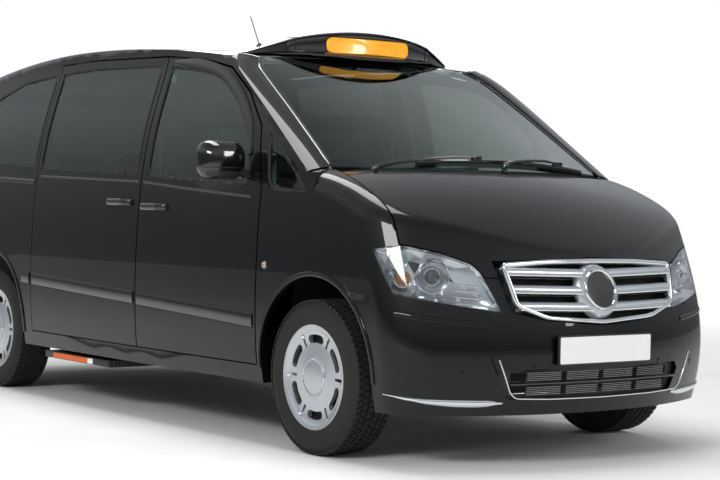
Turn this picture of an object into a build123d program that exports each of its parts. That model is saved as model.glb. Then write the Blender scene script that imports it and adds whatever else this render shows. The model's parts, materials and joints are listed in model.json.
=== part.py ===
from build123d import *
import math
import os

# Taxi cab, a long van-bodied private hire vehicle with its driver on the right.
# Millimetres. +X is the nose, +Y the left side, +Z up. The origin is on the
# ground, below the middle of the length and width.

os.makedirs("parts", exist_ok=True)

# Driving sizes
wheelbase = 3200.0
front_axle_x = 1654.0
rear_axle_x = front_axle_x - wheelbase
track = 1630.0
wheel_y = track / 2
tyre_r = 336.0
tyre_w = 205.0
rim_r = 203.0
axle_z = tyre_r
kingpin_y = 740.0
arch_r = 397.0
arch_z = 372.0

# Wall thicknesses and running clearances
door_wall = 70.0
upper_wall = 42.0
panel_wall = 22.0
glass_inset = 4.0
glass_wall = 5.0
seat_gap = 0.3
shut_gap = 6.0
door_gap = 9.0

# Heights that several panels share
sill_bottom = 275.0
sill_top = 352.0
floor_z = sill_top
floor_wall = 24.0
belt_z = 1175.0
screen_base_z = 1243.0
header_x = 748.0

# Places along the length where the side panels meet
front_door_front = 1219.0
door_split = 148.0
sliding_rear = -1035.0

# Body sections by height. Each plan outline is a ring of eight arcs.
side_r = 60000.0
side_x = -200.0
body_sections = [
    # z, nose, nose radius, corner radius, half width, tail, tail radius, tail corner radius
    (225, 2466, 1650, 240, 912, -2466, 3200, 170),
    (430, 2500, 1650, 240, 942, -2500, 3200, 170),
    (640, 2480, 1650, 240, 950, -2500, 3200, 170),
    (900, 2392, 1650, 240, 944, -2490, 3200, 170),
    (1180, 2270, 1650, 240, 922, -2468, 3200, 170),
    (1500, 2100, 1650, 240, 860, -2380, 3200, 160),
    (1920, 1800, 1650, 240, 765, -2200, 3200, 150),
]

# Windscreen surface: plan arcs that flatten towards the roof
screen_sections = [
    # z, front at the centre line, plan radius
    (1080, 2118, 1380),
    (1500, 1332, 2300),
    (1960, 470, 8000),
]

# Bonnet and roof are turned about long axes below the floor
bonnet_arc_x = 1357.0
bonnet_arc_z = -190.0
bonnet_arc_r = 1500.0
bonnet_crown_r = 5700.0
nose_rear = 1180.0
roof_top_x = -750.0
roof_top_z = 1900.0
roof_front_r = 11300.0
roof_rear_r = 8060.0
roof_crown_r = 12000.0
bonnet_edge_r = 110.0


def circle_meet(c1, r1, c2, r2, front):
    """The point, at the front or the rear, where two circles cross."""
    dx, dy = c2[0] - c1[0], c2[1] - c1[1]
    d = math.hypot(dx, dy)
    a = (r1 * r1 - r2 * r2 + d * d) / (2 * d)
    h = math.sqrt(r1 * r1 - a * a)
    mx, my = c1[0] + a * dx / d, c1[1] + a * dy / d
    points = [(mx + h * dy / d, my - h * dx / d), (mx - h * dy / d, my + h * dx / d)]
    return max(points) if front else min(points)


def toward(c, p, r):
    """The point at distance r from c on the way through p."""
    d = math.hypot(p[0] - c[0], p[1] - c[1])
    return (c[0] + (p[0] - c[0]) * r / d, c[1] + (p[1] - c[1]) * r / d)


def flip(p):
    return (p[0], -p[1])


def body_outline(section, inset):
    """One level outline: nose, side and tail arcs joined by tangent corner arcs."""
    z, nose, nose_r, corner_r, half_w, tail, tail_r, tail_corner_r = section
    side = side_r - inset
    side_c = (side_x, half_w - side_r)

    def corner(end_c, end_r, r, front):
        c = circle_meet(end_c, end_r - r, side_c, side - r, front)
        a, b = toward(end_c, c, end_r), toward(side_c, c, side)
        return a, toward(c, ((a[0] + b[0]) / 2, (a[1] + b[1]) / 2), r), b

    n1, n2, n3 = corner((nose - nose_r, 0), nose_r - inset, corner_r - inset, True)
    t1, t2, t3 = corner((tail + tail_r, 0), tail_r - inset, tail_corner_r - inset, False)
    with BuildSketch(Plane.XY.offset(z)) as outline:
        with BuildLine():
            ThreePointArc(flip(n1), (nose - inset, 0), n1)
            ThreePointArc(n1, n2, n3)
            ThreePointArc(n3, (side_x, half_w - inset), t3)
            ThreePointArc(t3, t2, t1)
            ThreePointArc(t1, (tail + inset, 0), flip(t1))
            ThreePointArc(flip(t1), flip(t2), flip(t3))
            ThreePointArc(flip(t3), (side_x, -half_w + inset), flip(n3))
            ThreePointArc(flip(n3), flip(n2), flip(n1))
        make_face()
    return outline.sketch


def arc_points(cx, cz, r, x1, x2):
    """Start, middle and end of the upper side of a circle between two x."""
    return [(x, cz + math.sqrt(r * r - (x - cx) ** 2)) for x in (x1, (x1 + x2) / 2, x2)]


def crowned(arcs, top_z, crown_r, inset):
    """The solid below a crowned surface: a lengthwise profile turned about an x axis."""
    axis_z = top_z - crown_r
    with BuildPart() as solid:
        with BuildSketch(Plane.XZ) as profile:
            with BuildLine():
                for arc in arcs:
                    below = [(x, 2 * axis_z - z + inset) for x, z in arc]
                    ThreePointArc(*below)
                first = (arcs[0][0][0], 2 * axis_z - arcs[0][0][1] + inset)
                last = (arcs[-1][2][0], 2 * axis_z - arcs[-1][2][1] + inset)
                Polyline(last, (last[0], axis_z - 50), (first[0], axis_z - 50), first)
            make_face()
        revolve(axis=Axis((0, 0, axis_z), (1, 0, 0)))
    return solid.part


def bonnet_crown(inset):
    arc = arc_points(bonnet_arc_x, bonnet_arc_z, bonnet_arc_r, 2700, nose_rear)
    return crowned([arc], bonnet_arc_z + bonnet_arc_r, bonnet_crown_r, inset)


def roof_crown(inset):
    front = arc_points(roof_top_x, roof_top_z - roof_front_r, roof_front_r, 2700, roof_top_x)
    rear = arc_points(roof_top_x, roof_top_z - roof_rear_r, roof_rear_r, roof_top_x, -2700)
    return crowned([front, rear], roof_top_z, roof_crown_r, inset)


def ahead_of_screen(inset):
    """Everything in front of the windscreen surface."""
    reach = 1300.0
    faces = []
    for z, x, r in screen_sections:
        with BuildSketch(Plane.XY.offset(z)) as face:
            with BuildLine():
                front = x - inset * 2.13
                back = front - (r - math.sqrt(r * r - reach * reach))
                ThreePointArc((back, -reach), (front, 0), (back, reach))
                Polyline((back, reach), (3600, reach), (3600, -reach), (back, -reach))
            make_face()
        faces.append(face.sketch)
    with BuildPart() as solid:
        loft(sections=faces)
    return solid.part


def body_form(inset):
    with BuildPart() as solid:
        loft(sections=[body_outline(s, inset) for s in body_sections])
    return solid.part


def crest_edges(part, low_z, low_x, high_x):
    """Edges that lie wholly above a height and between two x."""
    found = []
    for edge in part.edges():
        box = edge.bounding_box()
        if box.min.Z > low_z and low_x < box.min.X and box.max.X < high_x:
            if edge.geom_type != GeomType.CIRCLE:
                found.append(edge)
    return found


def nose_form(inset):
    """Nose of the vehicle below the bonnet surface, its crest rounded."""
    solid = body_form(inset) & bonnet_crown(inset)
    return fillet(crest_edges(solid, 860, nose_rear - 5, 2600), bonnet_edge_r - inset)


def cabin_form(inset):
    """Cabin from the floor to the roof, behind the windscreen surface."""
    solid = body_form(inset) & roof_crown(inset)
    return solid - ahead_of_screen(inset)


def low_shell(outer, inner):
    """The front of the nose below the bonnet, between two insets."""
    zone = block(1700, 2700, -1200, 1200, 0, 880)
    return keep(body_form(outer), zone) - body_form(inner)


def side_prism(points, y1, y2):
    """A side-view outline, in x and z, pulled across the vehicle from y1 to y2."""
    with BuildPart() as solid:
        with BuildSketch(Plane.XZ.offset(-y1)):
            with BuildLine():
                Polyline(*points, close=True)
            make_face()
        extrude(amount=-(y2 - y1))
    return solid.part


def plan_prism(points, z1, z2):
    """A plan outline, in x and y, pulled up from z1 to z2."""
    with BuildPart() as solid:
        with BuildSketch(Plane.XY.offset(z1)):
            with BuildLine():
                Polyline(*points, close=True)
            make_face()
        extrude(amount=z2 - z1)
    return solid.part


def front_prism(points, x1, x2):
    """A front-view outline, in y and z, pulled forward from x1 to x2."""
    with BuildPart() as solid:
        with BuildSketch(Plane.YZ.offset(x1)):
            with BuildLine():
                Polyline(*points, close=True)
            make_face()
        extrude(amount=x2 - x1)
    return solid.part


def block(x1, x2, y1, y2, z1, z2):
    with BuildPart() as solid:
        with Locations(((x1 + x2) / 2, (y1 + y2) / 2, (z1 + z2) / 2)):
            Box(x2 - x1, y2 - y1, z2 - z1)
    return solid.part


def bar(start, end, r):
    """A round bar between two points."""
    way = Vector(*end) - Vector(*start)
    with BuildPart() as solid:
        with BuildSketch(Plane(origin=start, z_dir=way.normalized())):
            Circle(r)
        extrude(amount=way.length)
    return solid.part


def across(x, z, y1, y2, r):
    """A round bar across the vehicle."""
    return bar((x, y1, z), (x, y2, z), r)


def mirrored(part):
    return mirror(part, about=Plane.XZ)


def save(part, label):
    part.label = label
    export_step(part, f"parts/{label}.step")


def keep(part, *tools):
    """What part shares with every tool."""
    for tool in tools:
        part = part & tool
    return part


cabin_skin = cabin_form(0)
cabin_thick = cabin_form(door_wall)
cabin_thin = cabin_form(upper_wall)
lower_shell = cabin_skin - cabin_thick
upper_shell = cabin_skin - cabin_thin
glass_shell = cabin_form(glass_inset) - cabin_form(glass_inset + glass_wall)
nose_skin = nose_form(0)
nose_inside = nose_form(panel_wall)
nose_shell = nose_skin - nose_inside

# Side view outlines, in x and z, of the doors and windows
front_door_outline = [
    (door_split + door_gap / 2, sill_top + shut_gap),
    (front_door_front, sill_top + shut_gap),
    (front_door_front, 1142),
    (1140, 1432),
    (985, 1585),
    (760, 1716),
    (520, 1764),
    (door_split + door_gap / 2, 1800),
]
sliding_door_outline = [
    (sliding_rear, sill_top + shut_gap),
    (door_split - door_gap / 2, sill_top + shut_gap),
    (door_split - door_gap / 2, 1800),
    (-640, 1822),
    (sliding_rear, 1816),
]


front_window_outline = [
    (door_split + 52, 1206),
    (1120, 1160),
    (1078, 1412),
    (950, 1548),
    (738, 1672),
    (510, 1722),
    (door_split + 52, 1752),
]
sliding_window_outline = [
    (sliding_rear + 32, 1243),
    (door_split - 50, 1212),
    (door_split - 50, 1762),
    (-640, 1782),
    (sliding_rear + 32, 1770),
]
quarter_window_outline = [
    (-2080, 1300),
    (sliding_rear - 42, 1247),
    (sliding_rear - 42, 1768),
    (-1480, 1742),
    (-1800, 1660),
    (-2020, 1500),
]
quarter_light_outline = [
    (1285, 1150),
    (1570, 1128),
    (1452, 1238),
    (1230, 1400),
]

with BuildPart() as arch_cuts:
    for x in (front_axle_x, rear_axle_x):
        with BuildSketch(Plane.XZ.offset(1200)):
            with Locations((x, arch_z)):
                Circle(arch_r)
            with Locations((x, arch_z - 300)):
                Rectangle(2 * arch_r, 600)
        extrude(amount=-2400)


# Plan outline of the windscreen's edge on the left, from its foot to the header
screen_edge = [(1900, 812), (1640, 806), (1600, 800), (1247, 750), (967, 714), (855, 696), (header_x, 640)]
roof_split_y = 690.0
roof_rear_x = -2138.0
pillar_foot_x = 1620.0
pillar_foot_z = 1102.0
wing_rear = front_door_front + door_gap
post_front = 1260.0

# Front door hinges: pins on cranked arms of the front post turn in the door's leading edge
hinge_x = front_door_front - 78.0
hinge_y = 908.0
hinge_levels = (480.0, 930.0)
hinge_pin_r = 6.0
hinge_pin_play = 0.08
hinge_pin_half = 42.0
hinge_eye_r = 9.0
hinge_arm_half = 16.0
hinge_arm_depth = 88.0
hinge_pocket_gap = 6.0
door_swing_r = 105.0

# Rear door outline, half of the view from behind, in y and z
tailgate_half = [(0, 512), (788, 512), (788, 1180), (700, 1640), (655, 1930), (0, 1930)]
tail_window_half = [(0, 1215), (668, 1215), (596, 1610), (560, 1668), (0, 1690)]


def both_sides(half):
    """A closed outline from its left half, which runs from the centre line back to it."""
    return half + [(-y, z) for y, z in reversed(half[1:-1])]


def widened(half, amount):
    """A tall outline grown sideways and down."""
    return [(y + amount if y else 0, z - amount if z == half[0][1] else z) for y, z in half]


tailgate_box = front_prism(both_sides(tailgate_half), -2700, roof_rear_x - shut_gap)
tailgate_hole = front_prism(both_sides(widened(tailgate_half, shut_gap)), -2700, roof_rear_x)

# Left body side: sill, pillars, cant rail and rear quarter
side_open = (
    side_prism(
        [
            (sliding_rear - shut_gap, sill_top),
            (front_door_front + door_gap, sill_top),
            (front_door_front + door_gap, 1146),
            (1149, 1439),
            (991, 1594),
            (764, 1726),
            (522, 1774),
            (door_split, 1809),
            (-640, 1829),
            (sliding_rear - shut_gap, 1823),
        ],
        500,
        1000,
    )
)
inner_110 = cabin_form(110)
rail_shell = cabin_skin - cabin_form(100)
side_walls = keep(lower_shell, block(-2600, wing_rear - seat_gap, 600, 1000, sill_bottom, belt_z))
side_walls += keep(lower_shell, block(wing_rear - seat_gap, pillar_foot_x, 600, 1000, pillar_foot_z, belt_z))
side_walls += keep(upper_shell, block(-2600, pillar_foot_x, 500, 1000, belt_z, 1950))
side_walls += keep(rail_shell, block(sliding_rear - 60, 760, roof_split_y, 1000, 1790, 1950))
screen_zone = plan_prism([(2100, 0), (2100, 812)] + screen_edge + [(header_x, 0)], 1230, 1950)
roof_zone = block(-2700, header_x, -roof_split_y, roof_split_y, 1500, 2000)
side_walls = side_walls - side_open - screen_zone - roof_zone - tailgate_hole - arch_cuts.part
side_walls -= side_prism(quarter_window_outline, 500, 1000)
side_walls -= side_prism(quarter_light_outline, 500, 1000)
side_walls -= block(-2700, -1900, -1000, 1000, 0, 506)
post_skin = cabin_form(panel_wall + seat_gap)
b_post = keep(cabin_form(door_wall + seat_gap) - inner_110, block(-22, 96, 500, 1000, 300, 1840))
a_post = keep(post_skin - inner_110, block(wing_rear, post_front, 500, 1000, sill_bottom, pillar_foot_z + 20))
hinge_arms = Part()
hinge_pockets = Part()
for level in hinge_levels:
    low, high = level - hinge_arm_half, level + hinge_arm_half
    arm_y = hinge_y - hinge_arm_depth
    hinge_arms += block(hinge_x - hinge_eye_r, hinge_x + hinge_eye_r, arm_y, hinge_y, low, high)
    hinge_arms += block(hinge_x - hinge_eye_r, wing_rear + 5, arm_y, arm_y + 16, low, high)
    hinge_arms += bar((hinge_x, hinge_y, low), (hinge_x, hinge_y, high), hinge_eye_r)
    pin_ends = [(hinge_x, hinge_y, level + way * hinge_pin_half) for way in (-1, 1)]
    hinge_arms += bar(*pin_ends, hinge_pin_r)
    hinge_pockets += block(
        hinge_x - hinge_eye_r - hinge_pocket_gap,
        wing_rear,
        500,
        hinge_y + hinge_eye_r + 3,
        low - hinge_pocket_gap,
        high + hinge_pocket_gap,
    )
    hole_ends = [(hinge_x, hinge_y, level + way * (hinge_pin_half + 2)) for way in (-1, 1)]
    hinge_pockets += bar(*hole_ends, hinge_pin_r + hinge_pin_play)
a_post += hinge_arms
sill_box = keep(cabin_form(door_wall - 8), block(-1120, 1225, 770, 1000, sill_bottom, floor_z))
body_side = side_walls + b_post + sill_box + a_post
save(body_side, "body_side_left")
save(mirrored(body_side), "body_side_right")

roof_panel = keep(
    upper_shell,
    block(roof_rear_x, header_x - seat_gap, -roof_split_y + seat_gap, roof_split_y - seat_gap, 1600, 1990),
)
save(roof_panel, "roof_panel")

screen_half = [(y_x[0], y_x[1] - seat_gap) for y_x in screen_edge]
screen_loop = [(2100, -812)] + [(2100, 812)] + screen_half + [flip(p) for p in reversed(screen_half)]
windscreen = keep(glass_shell, plan_prism(screen_loop, screen_base_z, 1950))
save(windscreen, "windscreen")

# Sliding doors stay shut. The glass of each side shares a node.
sliding_prism = side_prism(sliding_door_outline, roof_split_y + 10, 1000)
sliding_door = keep(lower_shell, sliding_prism, block(-2000, 2000, 0, 1000, 0, belt_z))
sliding_door += keep(upper_shell, sliding_prism, block(-2000, 2000, 0, 1000, belt_z, 2000))
sliding_door -= side_prism(sliding_window_outline, 500, 1000)
save(sliding_door, "sliding_door_left")
save(mirrored(sliding_door), "sliding_door_right")


def pane(outline):
    return keep(glass_shell, side_prism(outline, 500, 1000))


side_glass = pane(sliding_window_outline) + pane(quarter_window_outline) + pane(quarter_light_outline)
save(side_glass, "side_glass_left")
save(mirrored(side_glass), "side_glass_right")

# Front doors
front_prism_side = side_prism(front_door_outline, roof_split_y - 30, 1000)
front_door = keep(lower_shell, front_prism_side, block(-2000, 2000, 0, 1000, 0, belt_z))
front_door += keep(upper_shell, front_prism_side, block(-2000, 2000, 0, 1000, belt_z, 2000))
front_door -= side_prism(front_window_outline, 500, 1000)
front_door -= hinge_pockets
save(front_door, "front_door_left")
save(mirrored(front_door), "front_door_right")
door_glass = pane(front_window_outline)
save(door_glass, "door_glass_left")
save(mirrored(door_glass), "door_glass_right")

# Nose: lamps, grille, bumper, bonnet and wings share these outlines
lamp_angle = 40.0
lamp_plane = Plane(
    origin=(0, 0, 0),
    x_dir=(-math.sin(math.radians(lamp_angle)), math.cos(math.radians(lamp_angle)), 0),
    z_dir=(math.cos(math.radians(lamp_angle)), math.sin(math.radians(lamp_angle)), 0),
)

lamp_left = [
    # distance across the lamp's own plane, height
    (-1169, 648),
    (-1000, 673),
    (-720, 719),
    (-627, 900),
    (-756, 918),
    (-905, 888),
    (-1040, 842),
    (-1079, 806),
]
bumper_half = [
    (0, 590),
    (302, 612),
    (444, 649),
    (459, 669),
    (482, 786),
    (575, 786),
    (600, 662),
    (671, 667),
    (912, 712),
    (1050, 690),
    (1050, 100),
    (0, 100),
]
grille_half = [(0, 869), (488, 853), (452, 672), (440, 655), (300, 618), (0, 596)]
grille_hole_half = [(0, 846), (455, 832), (424, 684), (412, 672), (290, 640), (0, 620)]
intake_half = [(0, 418), (498, 416), (522, 386), (478, 300), (455, 292), (0, 288)]
bonnet_side = [(1885, 0), (1850, 330), (1744, 650), (1677, 790), (1900, 815), (2180, 832), (2310, 770), (2700, 770)]
bonnet_low_z = 792.0


def lamp_prism(grow):
    """The left lamp's outline pulled through the corner of the nose."""
    with BuildPart() as solid:
        with BuildSketch(lamp_plane.offset(2000)):
            with BuildLine():
                Polyline(*lamp_left, close=True)
            make_face()
            if grow:
                offset(amount=grow, kind=Kind.INTERSECTION)
        extrude(amount=420)
    return solid.part


def nose_prism(half, grow, x1=1900, x2=2700):
    """A symmetrical front-view outline pulled forward."""
    with BuildPart() as solid:
        with BuildSketch(Plane.YZ.offset(x1)):
            with BuildLine():
                Polyline(*both_sides(half), close=True)
            make_face()
            if grow:
                offset(amount=grow, kind=Kind.INTERSECTION)
        extrude(amount=x2 - x1)
    return solid.part


def bonnet_prism(grow):
    with BuildPart() as solid:
        with BuildSketch(Plane.XY.offset(bonnet_low_z - grow)):
            with BuildLine():
                Polyline(*bonnet_loop, close=True)
            make_face()
            if grow:
                offset(amount=grow, kind=Kind.INTERSECTION)
        extrude(amount=1400 - bonnet_low_z)
    return solid.part


bonnet_loop = bonnet_side + [flip(p) for p in reversed(bonnet_side[1:])]
bumper_cut = nose_prism(bumper_half, 0)
lamp_hole = lamp_prism(0) + mirrored(lamp_prism(0))
lamp_clear = lamp_prism(shut_gap) + mirrored(lamp_prism(shut_gap))
grille_hole = nose_prism(grille_half, 0)
intake_hole = nose_prism(intake_half, 0)

bonnet = keep(nose_shell, bonnet_prism(0)) - lamp_clear - nose_prism(grille_half, shut_gap)
save(bonnet, "bonnet")

front_wing = keep(nose_shell, block(wing_rear, 2600, 300, 1000, sill_bottom, 1400))
front_wing = front_wing - bonnet_prism(shut_gap) - bumper_cut - lamp_hole - arch_cuts.part
front_wing -= block(1000, pillar_foot_x, 0, 1100, pillar_foot_z - seat_gap, 1500)
front_wing -= block(1000, 1900, 0, 790, 1000, 1500)
front_wing -= block(2150, 2700, 0, 640, 0, 1500)
front_wing = max(front_wing.solids(), key=lambda solid: solid.volume)
save(Part() + front_wing, "front_wing_left")
save(mirrored(Part() + front_wing), "front_wing_right")

front_bumper = keep(low_shell(0, panel_wall), bumper_cut) - lamp_hole - grille_hole - intake_hole - arch_cuts.part
front_bumper -= block(0, 1700, -1100, 1100, 0, 1000)
save(front_bumper, "front_bumper")

# Grille: a proud frame, three louvres and a plain round boss
louvre_levels = [(642, 676), (704, 738), (766, 800)]
grille_frame = low_shell(-7, 26)
grille = keep(grille_frame, nose_prism(grille_half, -0.5)) - nose_prism(grille_hole_half, 0)
louvre_shell = low_shell(0, 40)
for low, high in louvre_levels:
    drop = 12
    louvre = [(0, high - drop), (470, high), (470, low), (0, low - drop)]
    grille += keep(louvre_shell, nose_prism(louvre, 0), nose_prism(grille_half, -3))
boss_z = 729.0
boss_r = 84.0
carrier_depth = 72.0
boss_shell = low_shell(-30, carrier_depth - seat_gap)
grille += keep(bar((2300, 0, boss_z), (2462, 0, boss_z), boss_r), boss_shell)
save(grille, "grille")

# Black carrier behind the grille and lamps
carrier_half = [(0, 560), (880, 640), (905, 860), (700, 850), (490, 822), (0, 838)]
front_carrier = keep(low_shell(carrier_depth, carrier_depth + 20), nose_prism(carrier_half, 0))
# The shut bonnet rests on two buffers that stand on the carrier
buffer_x, buffer_y, buffer_r = 2300.0, 400.0, 12.0
buffer = keep(bar((buffer_x, buffer_y, 800), (buffer_x, buffer_y, 1000), buffer_r), nose_inside)
buffer = Pos(0, 0, -seat_gap) * buffer
front_carrier += buffer + mirrored(buffer)
save(front_carrier, "front_carrier")

lower_grille = keep(low_shell(panel_wall + seat_gap, panel_wall + 14), nose_prism(intake_half, 12))
for row_z in (312, 366):
    for y1, y2 in ((-450, -180), (-150, 150), (180, 450)):
        lower_grille -= block(2200, 2600, y1, y2, row_z, row_z + 34)
save(lower_grille, "lower_grille")

lamp_shell = nose_skin - nose_form(4)
lamp_body_shell = nose_form(4 + seat_gap) - nose_form(71)
headlamp_lens = keep(lamp_shell, lamp_prism(-0.5))
save(headlamp_lens + mirrored(headlamp_lens), "headlamp_lenses")
lamp_bowls = [
    # centre x, y, z, mouth radius
    (2330, 600, 738, 68),
    (2250, 756, 826, 34),
    (2240, 760, 742, 30),
]
headlamp = keep(lamp_body_shell, lamp_prism(-0.5))
for x, y, z, r in lamp_bowls:
    headlamp -= bar((x - 20, y, z), (x + 200, y, z), r)
save(headlamp + mirrored(headlamp), "headlamps")

# Tailgate, its glass, the rear bumper and tail lamps
tail_shell = keep(lower_shell, block(-2700, -2000, -1000, 1000, 0, belt_z))
tail_shell += keep(upper_shell, block(-2700, -2000, -1000, 1000, belt_z, 2000))
tailgate = keep(tail_shell, tailgate_box) - front_prism(both_sides(tail_window_half), -2700, -2000)
save(tailgate, "tailgate")
tailgate_glass = keep(glass_shell, front_prism(both_sides(tail_window_half), -2700, -2000))
save(tailgate_glass, "tailgate_glass")
rear_bumper = keep(lower_shell, block(-2700, -1900 - seat_gap, -1000, 1000, 225, 505.7)) - arch_cuts.part
rear_bumper -= block(-2700, -1900, -1000, 1000, 505.7, 600)
# The shut tailgate rests on a striker block on the rear sill
rear_bumper += block(-2470, -2440, -40, 40, 500, tailgate_half[0][1] - seat_gap)
save(rear_bumper, "rear_bumper")
tail_lamp = keep(cabin_form(-9) - cabin_form(-seat_gap), block(-2600, -2330, 796, 1000, 760, 1240))
save(tail_lamp + mirrored(tail_lamp), "tail_lamps")

# Floor with the rear wheel housings, bulkhead and front rails
bulkhead_x = 1225.0
floor_pan = block(-2416, bulkhead_x, -820, 820, floor_z, floor_z + floor_wall)
well = across(rear_axle_x, axle_z + 30, 650, 1000, 392) + block(rear_axle_x - 392, rear_axle_x + 392, 650, 1000, 0, 366)
cover = across(rear_axle_x, axle_z + 30, 632, 820, 410)
cover = keep(cover, block(-2600, 0, 600, 820, floor_z + 1, 900))
floor_pan = floor_pan + cover + mirrored(cover)
hump_x = (rear_axle_x - 160, rear_axle_x + 160)
floor_pan += block(*hump_x, -640, 640, floor_z, 460)
floor_pan = floor_pan - well - mirrored(well) - block(hump_x[0] + 18, hump_x[1] - 18, -622, 622, 0, 442)
floor_pan -= across(rear_axle_x, axle_z, -660, 660, 45)
door_swing = bar((hinge_x, hinge_y, floor_z - 10), (hinge_x, hinge_y, floor_z + 60), door_swing_r)
floor_pan = floor_pan - door_swing - mirrored(door_swing)
floor_pan = keep(floor_pan, body_form(door_wall + shut_gap))
save(floor_pan, "floor_pan")

bulkhead = block(bulkhead_x + seat_gap, 1250, -735, 735, 300, 1120)
cowl_top = keep(nose_form(12) - nose_form(30), block(1250, 2000, -789.7, 789.7, 1050, 1400))
cowl_front = [(1878, 0), (1843, 330), (1738, 650), (1671, 789.7)]
cowl_rear = [(1626, 789.7), (1626, 0)]
cowl_plan = cowl_front + cowl_rear
cowl_loop = cowl_plan + [flip(p) for p in reversed(cowl_plan[1:-1])]
cowl_top = keep(cowl_top, plan_prism(cowl_loop, 1000, 1400))
cowl_top -= cabin_form(30)
bulkhead += block(1250, 1560, -735, 735, 1096, 1120)
save(bulkhead, "bulkhead")
save(cowl_top, "cowl")

# Taxi sign on the roof: a housing with swept fins and an amber lens
sign_front_x = 800.0
with BuildPart() as sign:
    with BuildSketch(Plane.YZ.offset(sign_front_x - 150)):
        with BuildLine():
            Polyline(*both_sides([(0, 1790), (330, 1800), (400, 1842), (380, 1868), (250, 1898), (0, 1912)]), close=True)
        make_face()
    with BuildSketch(Plane.YZ.offset(sign_front_x)):
        with BuildLine():
            Polyline(*both_sides([(0, 1768), (270, 1774), (345, 1812), (330, 1880), (250, 1925), (0, 1938)]), close=True)
        make_face()
    loft(ruled=True)
sign_fin = plan_prism([(720, 300), (700, 420), (600, 560), (540, 600), (520, 560), (600, 380), (640, 250)], 1800, 1868)
with BuildPart() as sign_lens:
    with BuildSketch(Plane.YZ.offset(sign_front_x - 30)):
        with Locations((0, 1854)):
            SlotOverall(500, 84)
    extrude(amount=34)
    fillet(sign_lens.faces().sort_by(Axis.X)[-1].edges(), 12)
with BuildPart() as lens_seat:
    with BuildSketch(Plane.YZ.offset(sign_front_x - 30 - seat_gap)):
        with Locations((0, 1854)):
            SlotOverall(500 + 2 * seat_gap, 84 + 2 * seat_gap)
    extrude(amount=100)
taxi_sign = sign.part + sign_fin + mirrored(sign_fin) - lens_seat.part - cabin_form(-seat_gap)
save(taxi_sign, "taxi_sign")
save(sign_lens.part, "sign_lens")

with BuildPart() as aerial:
    with BuildSketch(Plane(origin=(430, -420, 1790), z_dir=(0, 0, 1))):
        Circle(16)
    extrude(amount=72)
    with BuildSketch(Plane(origin=(430, -420, 1862), z_dir=(0, 0, 1))):
        Circle(16)
    extrude(amount=16, taper=30)
    with BuildSketch(Plane(origin=(430, -420, 1868), z_dir=(-0.5, 0, 0.87))):
        Circle(2.5)
    extrude(amount=172)
save(aerial.part - cabin_form(-seat_gap), "aerial")


# Wheels, made about the origin with the axle along y and the outside at plus y
def turned(points, x, y, z):
    """A half section, radius and offset along the axle, turned about the axle."""
    with BuildPart() as solid:
        with BuildSketch(Plane.XY):
            with BuildLine():
                Polyline(*points, close=True)
            make_face()
        revolve(axis=Axis.Y)
    return Pos(x, y, z) * solid.part


tyre_half = tyre_w / 2
tyre_section = [
    (rim_r + seat_gap, -78),
    (rim_r + 22, -92),
    (265, -tyre_half),
    (300, -tyre_half + 4),
    (326, -tyre_half + 20),
    (tyre_r, -tyre_half + 40),
    (tyre_r, tyre_half - 40),
    (326, tyre_half - 20),
    (300, tyre_half - 4),
    (265, tyre_half),
    (rim_r + 22, 92),
    (rim_r + seat_gap, 78),
]
trim_r = 226.0
hub_bore_r = 30.0 + seat_gap
wheel_section = [
    (hub_bore_r, 40),
    (hub_bore_r, 78),
    (0.01, 78),
    (0.01, 92),
    (76, 92),
    (84, 86),
    (150, 80),
    (196, 84),
    (214, 95),
    (trim_r, 94.6),
    (trim_r, 93.2),
    (202, 80.4),
    (rim_r, 74),
    (rim_r, -76),
    (rim_r - 10, -76),
    (rim_r - 16, 58),
    (150, 62),
    (84, 60),
    (60, 40),
]
vent_count = 6
vent_arc = CenterArc((0, 0), 166, -13, 26)
with BuildPart() as vents:
    with BuildSketch(Plane.XZ.offset(-50)):
        with PolarLocations(0, vent_count, start_angle=30):
            SlotArc(vent_arc, 36)
        with PolarLocations(172, vent_count):
            SlotCenterToCenter(44, 13)
    extrude(amount=-60)
wheel_blank = turned(wheel_section, 0, 0, 0) - vents.part
tyre_blank = turned(tyre_section, 0, 0, 0)
for end, axle_x in (("front", front_axle_x), ("rear", rear_axle_x)):
    left = Pos(axle_x, wheel_y, axle_z)
    save(left * tyre_blank, f"tyre_{end}_left")
    save(mirrored(left * tyre_blank), f"tyre_{end}_right")
    save(left * wheel_blank, f"wheel_{end}_left")
    save(mirrored(left * wheel_blank), f"wheel_{end}_right")

# Knuckles turn about an upright pin inside each front wheel
spindle_r = 30.0
pin_r = 12.0
knuckle_low = 232.0
knuckle_high = 462.0
knuckle = bar((front_axle_x, kingpin_y, knuckle_low), (front_axle_x, kingpin_y, knuckle_high), 34)
knuckle += across(front_axle_x, axle_z, kingpin_y, wheel_y + 78 - seat_gap, spindle_r)
knuckle += bar((front_axle_x, kingpin_y, 300), (front_axle_x - 120, kingpin_y - 30, 300), 12)
for z1, z2 in ((knuckle_low - 1, knuckle_low + 30), (knuckle_high - 30, knuckle_high + 1)):
    knuckle -= bar((front_axle_x, kingpin_y, z1), (front_axle_x, kingpin_y, z2), pin_r + seat_gap)
save(knuckle, "knuckle_left")
save(mirrored(knuckle), "knuckle_right")

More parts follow.
